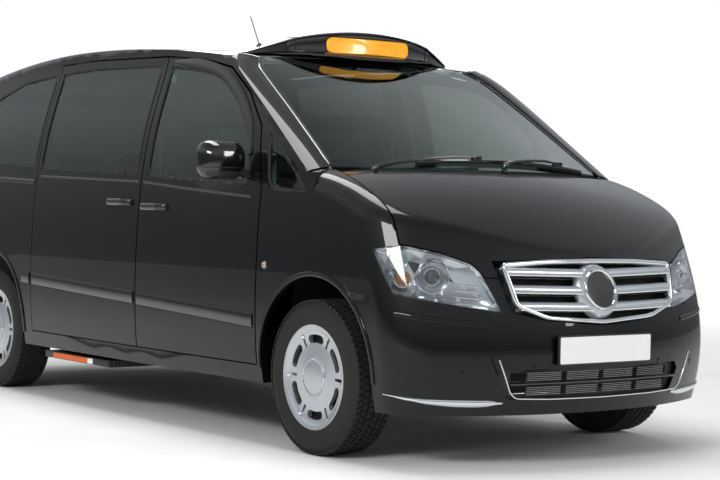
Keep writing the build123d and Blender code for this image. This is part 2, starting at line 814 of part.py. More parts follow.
# Front subframe with its arms, the ball pins and the spring legs
arm_wall = 22.0
subframe = block(front_axle_x - 110, front_axle_x + 110, -430, 430, 236, 300)
arm = plan_prism(
    [
        (front_axle_x - 100, 400),
        (front_axle_x + 100, 400),
        (front_axle_x + 24, kingpin_y - 20),
        (front_axle_x + 18, kingpin_y + 22),
        (front_axle_x - 18, kingpin_y + 22),
        (front_axle_x - 24, kingpin_y - 20),
    ],
    knuckle_low - seat_gap - arm_wall,
    knuckle_low - seat_gap,
)
upper_arm = block(front_axle_x - 20, front_axle_x + 20, 560, kingpin_y + 20, knuckle_high + seat_gap, knuckle_high + 20)
spring_leg = bar((front_axle_x, 580, 236), (front_axle_x, 580, 840), 44)
pins = bar((front_axle_x, kingpin_y, knuckle_low - 12), (front_axle_x, kingpin_y, knuckle_low + 28), pin_r)
pins += bar((front_axle_x, kingpin_y, knuckle_high - 28), (front_axle_x, kingpin_y, knuckle_high + 12), pin_r)
subframe_side = arm + upper_arm + spring_leg + pins
front_subframe = subframe + subframe_side + mirrored(subframe_side)
save(front_subframe, "front_subframe")

# Two rails carry the subframe, the carrier and the bumper
rail = block(1250 + seat_gap, 2300, 380, 450, 300 + seat_gap, 400)
tower = block(front_axle_x - 70, front_axle_x + 70, 430, 500, 395, 880) + block(
    front_axle_x - 70, front_axle_x + 70, 430, 650, 840 + seat_gap, 880
)
front_rails = rail + mirrored(rail) + tower + mirrored(tower)
front_rails += block(2300, 2356, -560, 560, 400, 480) + block(2240, 2300, -450, 450, 300 + seat_gap, 400)
front_rails += block(2270, 2330, -40, 40, 470, 800)
save(front_rails, "front_rails")

engine = block(1330, 2000, -300, 300, 300 + seat_gap, 860)
save(engine, "engine")

# Rear axle: beam, final drive, arms and spindles
rear_axle = across(rear_axle_x, axle_z, -wheel_y - 78 + seat_gap, wheel_y + 78 - seat_gap, spindle_r)
rear_axle += across(rear_axle_x, axle_z, -120, 120, 100)
for y in (-560, 560):
    rear_axle += bar((rear_axle_x, y, axle_z), (-1090, y, 300), 25)
    rear_axle += bar((-1090, y, 300), (-1090, y, floor_z - seat_gap), 40)
    rear_axle += bar((rear_axle_x - 90, y, axle_z - 40), (rear_axle_x - 90, y, floor_z - seat_gap), 50)
    rear_axle += block(rear_axle_x - 140, rear_axle_x, y - 50, y + 50, axle_z - 50, axle_z - 30)
save(rear_axle, "rear_axle")

with BuildPart() as exhaust:
    with BuildLine() as route:
        FilletPolyline((1150, 150, 300), (700, 150, 300), (200, 320, 300), (-900, 320, 300), radius=250)
    with BuildSketch(Plane(origin=route.line @ 0, z_dir=route.line % 0)):
        Circle(28)
    sweep()
silencer = block(-600, -80, 215, 425, 240, floor_z - seat_gap)
exhaust_part = exhaust.part + silencer
save(exhaust_part, "exhaust")
save(block(-300, 600, -540, -200, 235, floor_z - seat_gap), "fuel_tank")

# Powered side steps: a drawer slides out of a housing below each sliding door
step_x1, step_x2 = -905.0, -170.0
step_z1, step_z2 = 222.0, 256.0
step_out = 912.0
housing = block(step_x1 - 20, step_x2 + 20, 560, 770 - seat_gap, step_z2 + seat_gap, floor_z - seat_gap)
save(housing + mirrored(housing), "step_housings")
side_step = block(step_x1, step_x2, 600, step_out, step_z1, step_z2)
save(side_step, "side_step_left")
save(mirrored(side_step), "side_step_right")

# Cabin: dashboard, wheel, seats and the partition
seat_floor = floor_z + floor_wall + seat_gap
with BuildPart() as dashboard:
    with BuildSketch(Plane.XZ.offset(-770)):
        with BuildLine():
            Polyline(
                (bulkhead_x, 1092),
                (1180, 1108),
                (1120, 1075),
                (1098, 980),
                (1140, 780),
                (bulkhead_x, 700),
                close=True,
            )
        make_face()
    extrude(amount=1540)
wheel_centre = (960.0, -380.0, 1040.0)
column_angle = 28.0
column_way = Vector(math.cos(math.radians(column_angle)), 0, -math.sin(math.radians(column_angle)))
column_start = Vector(*wheel_centre) + column_way * 60
column_end = Vector(*wheel_centre) + column_way * 230
dash_part = dashboard.part + bar(tuple(column_start), tuple(column_end), 28)
save(dash_part, "dashboard")

wheel_plane = Plane(origin=wheel_centre, z_dir=-column_way)
with BuildPart() as steering_wheel:
    with BuildSketch(Plane.XZ):
        with Locations((180, 0)):
            Circle(15)
    revolve(axis=Axis.Z)
    Cylinder(48, 26)
    with Locations((0, 0, -30)):
        Cylinder(20, 59, align=(Align.CENTER, Align.CENTER, Align.CENTER))
    with PolarLocations(0, 4, start_angle=45):
        with Locations((105, 0, 0)):
            Box(150, 24, 12)
steering = wheel_plane.location * steering_wheel.part
save(steering, "steering_wheel")


def seat(x, y, width, back_lean=100):
    """A cushion with its back: x is the front of the cushion."""
    profile = [
        (x, seat_floor + 330),
        (x - 30, seat_floor + 90),
        (x - 430, seat_floor + 90),
        (x - 430 - back_lean * 0.9, seat_floor + 960),
        (x - 320 - back_lean * 0.8, seat_floor + 980),
        (x - 300, seat_floor + 430),
        (x - 60, seat_floor + 440),
    ]
    base = block(x - 290, x - 60, y - width * 0.35, y + width * 0.35, seat_floor, seat_floor + 100)
    return side_prism(profile, y - width / 2, y + width / 2) + base


save(seat(830, -390, 520), "driver_seat")
save(seat(-1060, 0, 1180), "rear_bench")
folding = side_prism(
    [(40, seat_floor + 420), (-20, seat_floor + 420), (-40, seat_floor + 960), (20, seat_floor + 960)], 130, 560
)
cushion = side_prism(
    [(40, seat_floor + 420), (40, seat_floor + 330), (-380, seat_floor + 330), (-380, seat_floor + 420)], 130, 560
)
fold_seat = folding + cushion
save(fold_seat + mirrored(fold_seat), "folding_seats")
partition = block(40 + seat_gap, 58, -700, 700, seat_floor, 1560)
partition -= block(0, 100, -600, 600, 1130, 1480)
save(partition, "partition")

# Mirrors on the front doors
mirror_z = 1272.0
mirror_sections = [
    # x, centre y, width, height, corner radius
    (1066, 1045, 222, 168, 55),
    (1082, 1045, 232, 176, 60),
    (1130, 1046, 214, 162, 62),
    (1160, 1048, 160, 118, 50),
    (1172, 1049, 96, 66, 30),
]
with BuildPart() as mirror_shell:
    for x, y, width, height, corner in mirror_sections:
        with BuildSketch(Plane.YZ.offset(x)):
            with Locations((y, mirror_z)):
                RectangleRounded(width, height, corner)
    loft()
mirror_stalk = block(1085, 1150, 890, 970, 1190, 1218)
mirror_part = mirror_shell.part + mirror_stalk - cabin_form(-seat_gap)
save(mirror_part, "mirror_left")
save(mirrored(mirror_part), "mirror_right")
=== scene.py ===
import bpy
import bmesh
import json
import math
from mathutils import Matrix, Vector
from mathutils.bvhtree import BVHTree


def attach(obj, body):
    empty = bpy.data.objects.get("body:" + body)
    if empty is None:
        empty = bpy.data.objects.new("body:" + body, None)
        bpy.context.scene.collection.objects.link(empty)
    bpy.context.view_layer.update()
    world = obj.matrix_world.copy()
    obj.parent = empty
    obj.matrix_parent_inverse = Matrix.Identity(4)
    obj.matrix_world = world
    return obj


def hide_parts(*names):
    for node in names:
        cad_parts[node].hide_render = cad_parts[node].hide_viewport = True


# Taxi cab: finishes, trim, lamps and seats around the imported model. Metres, nose along +X.
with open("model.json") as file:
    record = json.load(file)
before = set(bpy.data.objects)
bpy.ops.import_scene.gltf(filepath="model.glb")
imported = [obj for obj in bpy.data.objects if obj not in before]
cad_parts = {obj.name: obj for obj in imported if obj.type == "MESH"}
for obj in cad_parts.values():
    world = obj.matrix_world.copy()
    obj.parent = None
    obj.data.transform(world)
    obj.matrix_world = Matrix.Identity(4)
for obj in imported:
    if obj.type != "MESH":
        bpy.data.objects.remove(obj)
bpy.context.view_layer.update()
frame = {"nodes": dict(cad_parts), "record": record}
nodes = frame["nodes"]
sides = {"left": 1, "right": -1}
print("frame loaded:", len(nodes), "nodes")


# Materials

noise, cells = "ShaderNodeTexNoise", "ShaderNodeTexVoronoi"


def hexToLinear(code):
    out = []
    for i in (0, 2, 4):
        c = int(code[i:i + 2], 16) / 255
        out.append(c / 12.92 if c <= 0.04045 else ((c + 0.055) / 1.055) ** 2.4)
    return (*out, 1.0)


def addNode(tree, kind, settings=None, links=None):
    node = tree.nodes.new(kind)
    for key, value in (settings or {}).items():
        if key in node.inputs:
            node.inputs[key].default_value = value
        else:
            setattr(node, key, value)
    for key, source in (links or {}).items():
        tree.links.new(source, node.inputs[key])
    return node


def startMaterial(name, colour, roughness, look):
    mat = bpy.data.materials.new(name)
    mat.use_nodes = True
    tree = mat.node_tree
    tree.nodes.clear()
    shader = addNode(tree, "ShaderNodeBsdfPrincipled", {
        "Base Color": hexToLinear(colour), "Roughness": roughness, **look})
    addNode(tree, "ShaderNodeOutputMaterial", None, {"Surface": shader.outputs[0]})
    return mat, tree, shader


def addPattern(tree, kind, settings):
    coords = addNode(tree, "ShaderNodeTexCoord")
    return addNode(tree, kind, settings, {"Vector": coords.outputs["Object"]})


def addBump(tree, shader, height, strength, depthMm):
    bump = addNode(tree, "ShaderNodeBump", {"Strength": strength, "Distance": depthMm / 1000.0},
                   {"Height": height.outputs[0]})
    tree.links.new(bump.outputs[0], shader.inputs["Normal"])


def grainBump(tree, shader, scaleMm, depthMm, strength=0.5, detail=2.0, kind=noise):
    # pattern size comes from a real spacing in millimetres
    tex = addPattern(tree, kind, {"Scale": 1000.0 / scaleMm, "Detail": detail})
    addBump(tree, shader, tex, strength, depthMm)
    return tex


def varyColour(tree, shader, tex, dark, light):
    ramp = addNode(tree, "ShaderNodeValToRGB", None, {"Fac": tex.outputs[0]})
    for element, position, tint in zip(ramp.color_ramp.elements, (0.3, 0.7), (dark, light)):
        element.position = position
        element.color = hexToLinear(tint)
    tree.links.new(ramp.outputs[0], shader.inputs["Base Color"])


def varyRoughness(tree, shader, tex, low, high):
    ramp = addNode(tree, "ShaderNodeMapRange", {"To Min": low, "To Max": high}, {"Value": tex.outputs[0]})
    tree.links.new(ramp.outputs[0], shader.inputs["Roughness"])


def makeFinish(name, colour, roughness, grain, tints=None, gloss=None, kind=noise, look=None):
    # grain is spacing and depth in millimetres with a strength; it also drives tint and gloss
    mat, tree, shader = startMaterial(name, colour, roughness, look or {})
    tex = grainBump(tree, shader, *grain, kind=kind)
    if tints:
        varyColour(tree, shader, tex, *tints)
    if gloss:
        varyRoughness(tree, shader, tex, *gloss)
    return mat


def makeClear(name, colour, ior, scale, tints):
    # clear all through, with faint clouds in its tint
    mat, tree, shader = startMaterial(name, colour, 0.0, {"IOR": ior, "Transmission Weight": 1.0})
    varyColour(tree, shader, addPattern(tree, noise, {"Scale": scale}), *tints)
    return mat


def addWaves(tree, pitchMm, direction, distortion=0.0):
    return addPattern(tree, "ShaderNodeTexWave", {
        "Scale": 1000 / pitchMm / 6.28, "bands_direction": direction, "Distortion": distortion})


# black acrylic base under clear lacquer: deep, wet gloss with faint orange peel
clearcoatBlack = makeFinish(
    "acrylicClearcoatBlack", "08080A", 0.45, (9.0, 0.010, 0.25), ("060607", "09090B"),
    look={"Specular IOR Level": 0.08, "Coat Weight": 0.8, "Coat Roughness": 0.02, "Coat IOR": 1.4})
# laminated soda-lime glass with the green cast of its iron, darker behind the front doors
tintedGlass = makeClear("tintedSodaLimeGlass", "A9BEB3", 1.5, 3.0, ("A4B9AE", "AEC3B8"))
privacyGlass = makeClear("privacyGlass", "6A7A72", 1.5, 3.0, ("64746C", "707F78"))
# smoked acrylic of the wind deflectors
smokedAcrylic = makeFinish("smokedAcrylic", "3A3A3C", 0.05, (40, 0.02, 0.1), look={
    "IOR": 1.49, "Transmission Weight": 0.6})
# silver lacquered ABS of grille and wheel trims: fine flake under satin lacquer
silverLacquer = makeFinish("silverLacqueredAbs", "B9BCC0", 0.32, (1.2, 0.01, 0.2), ("AEB1B6", "C4C7CB"),
                           look={"Metallic": 0.75, "Coat Weight": 0.6, "Coat Roughness": 0.08})
# mirror bright chrome with a faint haze
brightChrome = makeFinish("chromedAbs", "D9DBDD", 0.07, (30, 0.01, 0.08), gloss=(0.05, 0.11),
                          look={"Metallic": 1.0})
# textured polypropylene: moulded grain that scatters light
grainedPlastic = makeFinish("grainedPolypropylene", "1A1B1C", 0.55, (2.4, 0.12, 0.5), ("151617", "202122"),
                            kind=cells, look={"IOR": 1.49})
# piano black mouldings
glossPlastic = makeFinish("glossBlackAbs", "0A0A0B", 0.12, (60, 0.03, 0.1), gloss=(0.08, 0.16), look={
    "IOR": 1.53, "Coat Weight": 0.6, "Coat Roughness": 0.04})
# EPDM seals, dull black with a dusty bloom
sealRubber = makeFinish("epdmRubber", "111112", 0.7, (6, 0.05, 0.3), ("0E0E0F", "19191A"))
# carbon black tyre rubber, brownish where it has weathered
tyreRubber = makeFinish("carbonBlackTyreRubber", "1B1A19", 0.75, (14, 0.2, 0.4, 6), ("171717", "262422"),
                        (0.62, 0.85), look={"Specular IOR Level": 0.35})
# running gear and engine: painted and raw castings, turned steel, primer
castIron = makeFinish("blackPaintedCastIron", "242527", 0.6, (5, 0.3, 0.5), ("1C1D1F", "2E2F31"))
rawIron = makeFinish("castIronEngine", "57585A", 0.6, (8, 0.5, 0.5), ("4A4B4D", "66676A"),
                     look={"Metallic": 0.5})
discSteel = makeFinish("turnedBrakeSteel", "8A8B8D", 0.35, (3, 0.04, 0.3), ("7C7D80", "97989B"),
                       look={"Metallic": 0.9})
underPaint = makeFinish("electrocoatPrimer", "1C1D20", 0.5, (30, 0.2, 0.3), ("18191B", "232427"))
# amber acrylic of the roof sign, lit from inside by its own lamp
amberAcrylic = makeFinish("litAmberAcrylic", "F2A516", 0.22, (120, 0.2, 0.1), ("EE9C10", "F8B32A"), look={
    "IOR": 1.49, "Coat Weight": 0.7, "Coat Roughness": 0.06, "Emission Strength": 0.32,
    "Emission Color": hexToLinear("FFB21E")})
# lamps: clear lens, bright bowls, amber and red mouldings
clearLens = makeClear("clearPolycarbonate", "F4F7F8", 1.45, 8.0, ("F1F5F6", "F9FBFB"))
reflector = makeFinish("vacuumAluminisedReflector", "D5D8DB", 0.16, (22, 0.06, 0.2), gloss=(0.12, 0.24),
                       look={"Metallic": 0.95})
amberBulb = makeFinish("amberIndicatorPlastic", "E88A22", 0.2, (5, 0.1, 0.3), ("DE7F1C", "F09A38"),
                       look={"Coat Weight": 0.5})
redLens = makeFinish("redAcrylicLens", "7E0D0C", 0.12, (7, 0.25, 0.5), ("6C0A0A", "9A1512"), kind=cells,
                     look={"Coat Weight": 0.8, "Coat Roughness": 0.04})

# flat woven moquette in charcoal blue, threads about 1 mm drawn at 3 mm to show
moquette, tree, shader = startMaterial("wovenMoquette", "2A2D33", 0.95,
                                       {"Sheen Weight": 0.4, "Sheen Roughness": 0.5})
weave = addNode(tree, "ShaderNodeMath", {"operation": "MULTIPLY"})
for socket, direction in zip(weave.inputs, "YZ"):
    tree.links.new(addWaves(tree, 3.0, direction, 0.6).outputs[0], socket)
addBump(tree, shader, weave, 0.5, 0.6)
# the colour follows the weave: the gaps between the threads are painted darker than their raised crossings,
# as painted shade
varyColour(tree, shader, weave, "22252B", "3A3E46")

gripLeather = makeFinish("steeringLeather", "151516", 0.5, (1.6, 0.1, 0.5), ("101011", "1B1B1C"), kind=cells)

# step treads ribbed every 12 mm
ribbedAluminium, tree, shader = startMaterial("anodisedStepAluminium", "3B3C3E", 0.45, {"Metallic": 0.6})
ribs = addWaves(tree, 12.0, "Y")
addBump(tree, shader, ribs, 0.6, 1.5)
# the colour follows the ribs: the valleys are painted darker than the crests, as painted shade in the grooves
varyColour(tree, shader, ribs, "333436", "47484A")

# orange PVC step nosing, yellow grab rails, white plate sheet
orangeNosing = makeFinish("orangePvcNosing", "E2601A", 0.5, (4, 0.1, 0.3), ("D65816", "EA6C25"))
yellowRail = makeFinish("yellowPowderCoat", "D9B514", 0.35, (3, 0.05, 0.3), ("D0AC10", "E1BE22"),
                        look={"Coat Weight": 0.3})
plateWhite = makeFinish("whiteRetroreflectiveSheet", "E9EAE8", 0.35, (2, 0.03, 0.2), ("E4E5E3", "EFF0EE"),
                        kind=cells, look={"Coat Weight": 0.3})

# a star stands for left and for right
materialNodes = (
    (clearcoatBlack, "body_side_* roof_panel sliding_door_* bonnet front_door_* front_wing_* front_bumper "
                     "rear_bumper tailgate"),
    (tintedGlass, "windscreen"),
    (privacyGlass, "side_glass_*"),
    (tintedGlass, "door_glass_*"),
    (privacyGlass, "tailgate_glass"),
    (silverLacquer, "wheel_front_* wheel_rear_*"),
    (grainedPlastic, "front_carrier lower_grille cowl dashboard aerial partition fuel_tank"),
    (glossPlastic, "mirror_*"),
    (clearLens, "headlamp_lenses"),
    (redLens, "tail_lamps"),
    (gripLeather, "steering_wheel"),
    (underPaint, "step_housings floor_pan bulkhead front_rails"),
    (castIron, "front_subframe rear_axle knuckle_*"),
    (discSteel, "exhaust"),
    (rawIron, "engine"),
    (ribbedAluminium, "side_step_*"),
)
nodeMaterials = {}
for material, names in materialNodes:
    for pattern in names.split():
        for label in sides if "*" in pattern else ("",):
            nodeMaterials[pattern.replace("*", label)] = material
print("materials made:", len(bpy.data.materials))


# Shapes

weldDistance = 2e-6
bodyOf = {n: b for b, ns in frame["record"]["behaviour"]["bodies"].items() for n in ns}


def addObject(name, data):
    thing = bpy.data.objects.new(name, data)
    bpy.context.scene.collection.objects.link(thing)
    return thing


def addPiece(name, mesh, material, body):
    mesh.materials.append(material)
    piece = addObject(name, mesh)
    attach(piece, body)
    return piece


def shadeSmooth(mesh, sharpDegrees):
    mesh.polygons.foreach_set("use_smooth", [True] * len(mesh.polygons))
    mesh.set_sharp_from_angle(angle=math.radians(sharpDegrees))


def finishMesh(mesh, sharpDegrees):
    bm = bmesh.new()
    bm.from_mesh(mesh)
    bmesh.ops.remove_doubles(bm, verts=bm.verts, dist=weldDistance)
    bmesh.ops.recalc_face_normals(bm, faces=bm.faces)
    bm.to_mesh(mesh)
    bm.free()
    shadeSmooth(mesh, sharpDegrees)
    mesh.update()


def meshFrom(name, verts, faces):
    mesh = bpy.data.meshes.new(name)
    mesh.from_pydata([tuple(v) for v in verts], [], faces)
    return mesh


def newPiece(name, verts, faces, material, body, sharpDegrees):
    mesh = meshFrom(name, verts, faces)
    finishMesh(mesh, sharpDegrees)
    return addPiece(name, mesh, material, body)


def dressNode(nodeName):
    # a merged, smooth-shaded copy of the solid stands for it
    mesh = nodes[nodeName].data.copy()
    mesh.name = "skin_" + nodeName
    mesh.materials.clear()
    bm = bmesh.new()
    bm.from_mesh(mesh)
    bmesh.ops.remove_doubles(bm, verts=bm.verts, dist=weldDistance)
    bmesh.ops.dissolve_degenerate(bm, edges=bm.edges, dist=weldDistance)
    bm.to_mesh(mesh)
    bm.free()
    shadeSmooth(mesh, 28)
    piece = addPiece("skin_" + nodeName, mesh, nodeMaterials[nodeName], bodyOf[nodeName])
    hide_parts(nodeName)


# these nodes get pieces of their own further down
rebuilt = {"grille", "taxi_sign", "sign_lens", "headlamps", "driver_seat", "rear_bench", "folding_seats"}
rebuilt |= {n for n in nodes if n.startswith("tyre_")}
for nodeName in sorted(set(nodes) - rebuilt):
    dressNode(nodeName)
print("nodes dressed:", len(nodes) - len(rebuilt))


# Places on the body surface, found by rays against the solids

def treeOf(names):
    verts, faces = [], []
    for n in names:
        base = len(verts)
        verts += [v.co.copy() for v in nodes[n].data.vertices]
        faces += [[base + i for i in p.vertices] for p in nodes[n].data.polygons]
    return BVHTree.FromPolygons(verts, faces)


outer = (clearcoatBlack, tintedGlass, privacyGlass)
skinNames = [n for n, m in nodeMaterials.items() if m in outer] + ["headlamp_lenses", "grille", "cowl"]
skinTree = treeOf(skinNames)


def cast(start, way, tree=skinTree, outward=None):
    # where a ray first meets the surface, with the normal turned outward, or else back towards the start
    way = Vector(way)
    place, normal = tree.ray_cast(Vector(start), way)[:2]
    if place is None:
        return None
    return place, normal if normal.dot(Vector(outward) if outward else -way) > 0 else -normal


def sideHit(x, z, side):
    # edges seen end on count as facing a little upward
    return cast((x, side * 1.6, z), (0, -side, 0), outward=(0, side, 0.2))


def frontHit(y, z):
    return cast((3.4, y, z), (-1, 0, 0))


def topHit(x, y):
    return cast((x, y, 2.6), (0, 0, -1))


def rearHit(y, z):
    return cast((-3.4, y, z), (1, 0, 0))


def walk(points, step=0.02, closed=False):
    # evenly spaced stations along straight runs, corners kept
    out = []
    loop = points + [points[0]] if closed else points
    for a, b in zip(loop[:-1], loop[1:]):
        n = max(1, int(math.dist(a, b) / step))
        for i in range(n):
            out.append(tuple(a[k] + (b[k] - a[k]) * i / n for k in range(len(a))))
    if not closed:
        out.append(tuple(points[-1]))
    return out


def rounded(points, radius, closed=True, steps=5):
    # corners of an outline turned into short arcs
    out = []
    n = len(points)
    for i, p in enumerate(points):
        if not closed and i in (0, n - 1):
            out.append(tuple(p))
            continue
        corner = Vector(p)
        back, on = Vector(points[i - 1]) - corner, Vector(points[(i + 1) % n]) - corner
        cut = min(radius, back.length * 0.45, on.length * 0.45)
        first, last = corner + back.normalized() * cut, corner + on.normalized() * cut
        for k in range(steps + 1):
            t = k / steps
            out.append(tuple(first * (1 - t) ** 2 + corner * 2 * t * (1 - t) + last * t ** 2))
    return out


def around(count):
    # angles spread evenly over a full turn
    return [2 * math.pi * k / count for k in range(count)]


def gridFaces(rows, wide, looped=False, ringed=True):
    # quads between rows of points; looped joins the last row to the first, ringed closes each row
    faces = []
    for i in range(rows if looped else rows - 1):
        j = (i + 1) % rows
        for k in range(wide if ringed else wide - 1):
            l = (k + 1) % wide
            faces.append((i * wide + k, i * wide + l, j * wide + l, j * wide + k))
    return faces


def sweepRing(name, rings, material, body, sharpDegrees=40, looped=False):
    # rings of equal length joined one to the next, with flat ends unless they run in a loop
    n, m = len(rings), len(rings[0])
    faces = gridFaces(n, m, looped)
    if not looped:
        faces.append(tuple(range(m)))
        faces.append(tuple(range((n - 1) * m, n * m))[::-1])
    verts = [v for ringPoints in rings for v in ringPoints]
    return newPiece(name, verts, faces, material, body, sharpDegrees)


stripSection = ((-0.5, 0.45), (-0.32, 0.9), (0, 1), (0.32, 0.9), (0.5, 0.45))  # shares of width and height


def strip(name, stations, width, proud, material, body, closed=False, sink=0.002, taper=None):
    # a low moulding with a crowned top that follows stations of (place, normal)
    n = len(stations)
    section = [(-0.5, -sink)] + [(u, proud * v) for u, v in stripSection] + [(0.5, -sink)]
    rings = []
    for i, (place, normal) in enumerate(stations):
        before = stations[i - 1][0] if (i or closed) else place
        after = stations[(i + 1) % n][0] if (i < n - 1 or closed) else place
        across = (after - before).normalized().cross(normal).normalized()
        share = 1.0
        if taper:
            t = i / (n - 1) * (len(taper) - 1)
            k = min(int(t), len(taper) - 2)
            share = taper[k] + (taper[k + 1] - taper[k]) * (t - k)
        rings.append([place + across * (u * width * share) + normal * v for u, v in section])
    return sweepRing(name, rings, material, body, 40, closed)


def sideStations(points, side, step=0.02, closed=False):
    return [hit for hit in (sideHit(x, z, side) for x, z in walk(points, step, closed)) if hit]


def tube(name, points, radius, material, body, facets=12, taper=1.0):
    rings = []
    points = [Vector(p) for p in points]
    lead = Vector((0, 0, 1))
    for i, p in enumerate(points):
        along = (points[min(i + 1, len(points) - 1)] - points[max(i - 1, 0)]).normalized()
        if abs(along.dot(lead)) > 0.95:
            lead = Vector((0, 1, 0))
        u = along.cross(lead).normalized()
        v = along.cross(u)
        r = radius * (1 + (taper - 1) * i / (len(points) - 1))
        rings.append([p + (u * math.cos(t) + v * math.sin(t)) * r for t in around(facets)])
    return sweepRing(name, rings, material, body)


def curveThrough(points, steps=8):
    # a smooth path through a few places
    pts = [Vector(p) for p in points]
    pts = [pts[0] * 2 - pts[1]] + pts + [pts[-1] * 2 - pts[-2]]
    out = []
    for i in range(1, len(pts) - 2):
        for k in range(steps):
            t = k / steps
            a, b, c, d = pts[i - 1:i + 3]
            out.append(0.5 * ((2 * b) + (c - a) * t + (2 * a - 5 * b + 4 * c - d) * t * t
                              + (3 * b - a - 3 * c + d) * t ** 3))
    out.append(pts[-2])
    return out


def lathe(name, profile, centre, axis, material, body, segments=96, sharpDegrees=40):
    # a half section of (distance along the axis, radius) turned about it, open where it starts on the axis
    axis = Vector(axis).normalized()
    u = axis.orthogonal().normalized()
    v = axis.cross(u)
    verts = [Vector(centre) + axis * h + (u * math.cos(t) + v * math.sin(t)) * max(r, 1e-5)
             for t in around(segments) for h, r in profile]
    faces = gridFaces(segments, len(profile), True, ringed=profile[0][1] > 0)
    return newPiece(name, verts, faces, material, body, sharpDegrees)


def plaque(name, outline, place, depth, material, body, bevel=0.0015):
    # a closed outline laid on a surface by place(u, v) -> (point, normal) and given a thickness
    n = len(outline)
    middle = (sum(u for u, v in outline) / n, sum(v for u, v in outline) / n)

    def ring(shares, raised):
        out = []
        for (u, v), share in zip(outline, shares):
            point, normal = place(middle[0] + (u - middle[0]) * share, middle[1] + (v - middle[1]) * share)
            out.append(point + normal * raised)
        return out

    inset = [1 - bevel / max(math.dist(spot, middle), 1e-4) for spot in outline]
    point, normal = place(*middle)
    verts = ring([1] * n, -0.002) + ring([1] * n, max(depth - bevel, 0.0003)) + ring(inset, depth)
    verts += ring([0.5] * n, depth) + [point + normal * depth]
    faces = gridFaces(4, n)
    faces += [(3 * n + k, 3 * n + (k + 1) % n, 4 * n) for k in range(n)]
    faces.append(tuple(range(n))[::-1])
    return newPiece(name, verts, faces, material, body, 35)


def roundedBox(name, low, high, radius, material, body, segments=3):
    # a moulded block: bevelled all over
    mesh = bpy.data.meshes.new(name)
    bm = bmesh.new()
    bmesh.ops.create_cube(bm, size=1)
    size = Vector(high) - Vector(low)
    mid = (Vector(high) + Vector(low)) / 2
    for v in bm.verts:
        v.co = v.co * size + mid
    bmesh.ops.bevel(bm, geom=bm.edges[:], offset=radius, segments=segments, profile=0.6, affect="EDGES")
    bm.to_mesh(mesh)
    bm.free()
    finishMesh(mesh, 40)
    return addPiece(name, mesh, material, body)


# Repeats are placed by one node group: a unit on the points of a carrier, made real

def makeRepeater():
    group = bpy.data.node_groups.new("repeatOnPoints", "GeometryNodeTree")
    face = group.interface
    for name, kind in (("Geometry", "Geometry"), ("Unit", "Object"), ("Material", "Material")):
        face.new_socket(name, in_out="INPUT", socket_type="NodeSocket" + kind)
    face.new_socket("Geometry", in_out="OUTPUT", socket_type="NodeSocketGeometry")
    put = addNode(group, "NodeGroupInput")
    unit = addNode(group, "GeometryNodeObjectInfo", None, {"Object": put.outputs["Unit"]})
    turn = addNode(group, "GeometryNodeInputNamedAttribute", {"data_type": "QUATERNION", "Name": "turn"})
    spread = addNode(group, "GeometryNodeInstanceOnPoints", None, {
        "Points": put.outputs["Geometry"], "Instance": unit.outputs["Geometry"],
        "Rotation": turn.outputs["Attribute"]})
    real = addNode(group, "GeometryNodeRealizeInstances", None, {"Geometry": spread.outputs[0]})
    paint = addNode(group, "GeometryNodeSetMaterial", None, {
        "Geometry": real.outputs[0], "Material": put.outputs["Material"]})
    addNode(group, "NodeGroupOutput", None, {"Geometry": paint.outputs[0]})
    return group


repeater = makeRepeater()


def repeatPiece(name, unit, places, material, body):
    # places holds a rotation matrix and a point for each copy of the unit
    carrier = meshFrom(name + "Points", [point for _, point in places], [])
    turn = carrier.attributes.new("turn", "QUATERNION", "POINT")
    for k, (matrix, _) in enumerate(places):
        turn.data[k].value = matrix.to_quaternion()
    holder = addObject(name + "Holder", carrier)
    spread = holder.modifiers.new("repeat", "NODES")
    spread.node_group = repeater
    names = {item.name: item.identifier for item in repeater.interface.items_tree if item.in_out == "INPUT"}
    spread[names["Unit"]] = unit
    spread[names["Material"]] = material
    graph = bpy.context.evaluated_depsgraph_get()
    mesh = bpy.data.meshes.new_from_object(holder.evaluated_get(graph), depsgraph=graph)
    mesh.name = name
    bpy.data.objects.remove(holder)
    bpy.data.objects.remove(unit)
    mesh.materials.clear()
    finishMesh(mesh, 30)
    return addPiece(name, mesh, material, body)


def unitMesh(name, verts, faces):
    return addObject(name, meshFrom(name, verts, faces))


def meshPanel(name, placeAt, uRange, vRange, pitch, bar, material, body, inside):
    # woven grid of diamond bars over a surface, clipped to an outline
    verts, faces = [], []
    for way in (1, -1):
        reach = (uRange[1] - uRange[0]) + (vRange[1] - vRange[0])
        count = int(reach / pitch)
        for i in range(-count, count):
            runs, run = [], []
            for k in range(int(reach / 0.006)):
                v = vRange[0] + k * 0.003
                u = uRange[0] + i * pitch + way * (v - vRange[0]) * 1.6
                if v > vRange[1]:
                    break
                if inside(u, v):
                    run.append((u, v))
                elif run:
                    runs.append(run)
                    run = []
            runs.append(run)
            for run in runs:
                if len(run) < 2:
                    continue
                ends = [run[0], run[-1]]
                base = len(verts)
                for u, v in ends:
                    point, normal = placeAt(u, v)
                    for du, dn in ((-bar, 0), (0, bar), (bar, 0), (0, -bar)):
                        sidePoint, _ = placeAt(u + du, v)
                        verts.append(sidePoint + normal * dn)
                for k in range(4):
                    l = (k + 1) % 4
                    faces.append((base + k, base + l, base + 4 + l, base + 4 + k))
    return newPiece(name, verts, faces, material, body, 20)


# Grille: chromed frame, three louvres, a plain boss and the black mesh behind

# the nose in side view falls away from its foot by a slope and a bend, and curves back across the car
nose = {"foot": 2.48, "level": 0.64, "slope": 0.2037, "bend": 0.517, "planRadius": 3.44}
grille = {"louvreLevels": (0.681, 0.750, 0.822), "bow": 0.010, "frameInset": 0.010, "middle": 0.735,
          "bossLevel": 0.738, "meshDepth": 0.034, "meshPitch": 0.016, "meshBar": 0.0011}


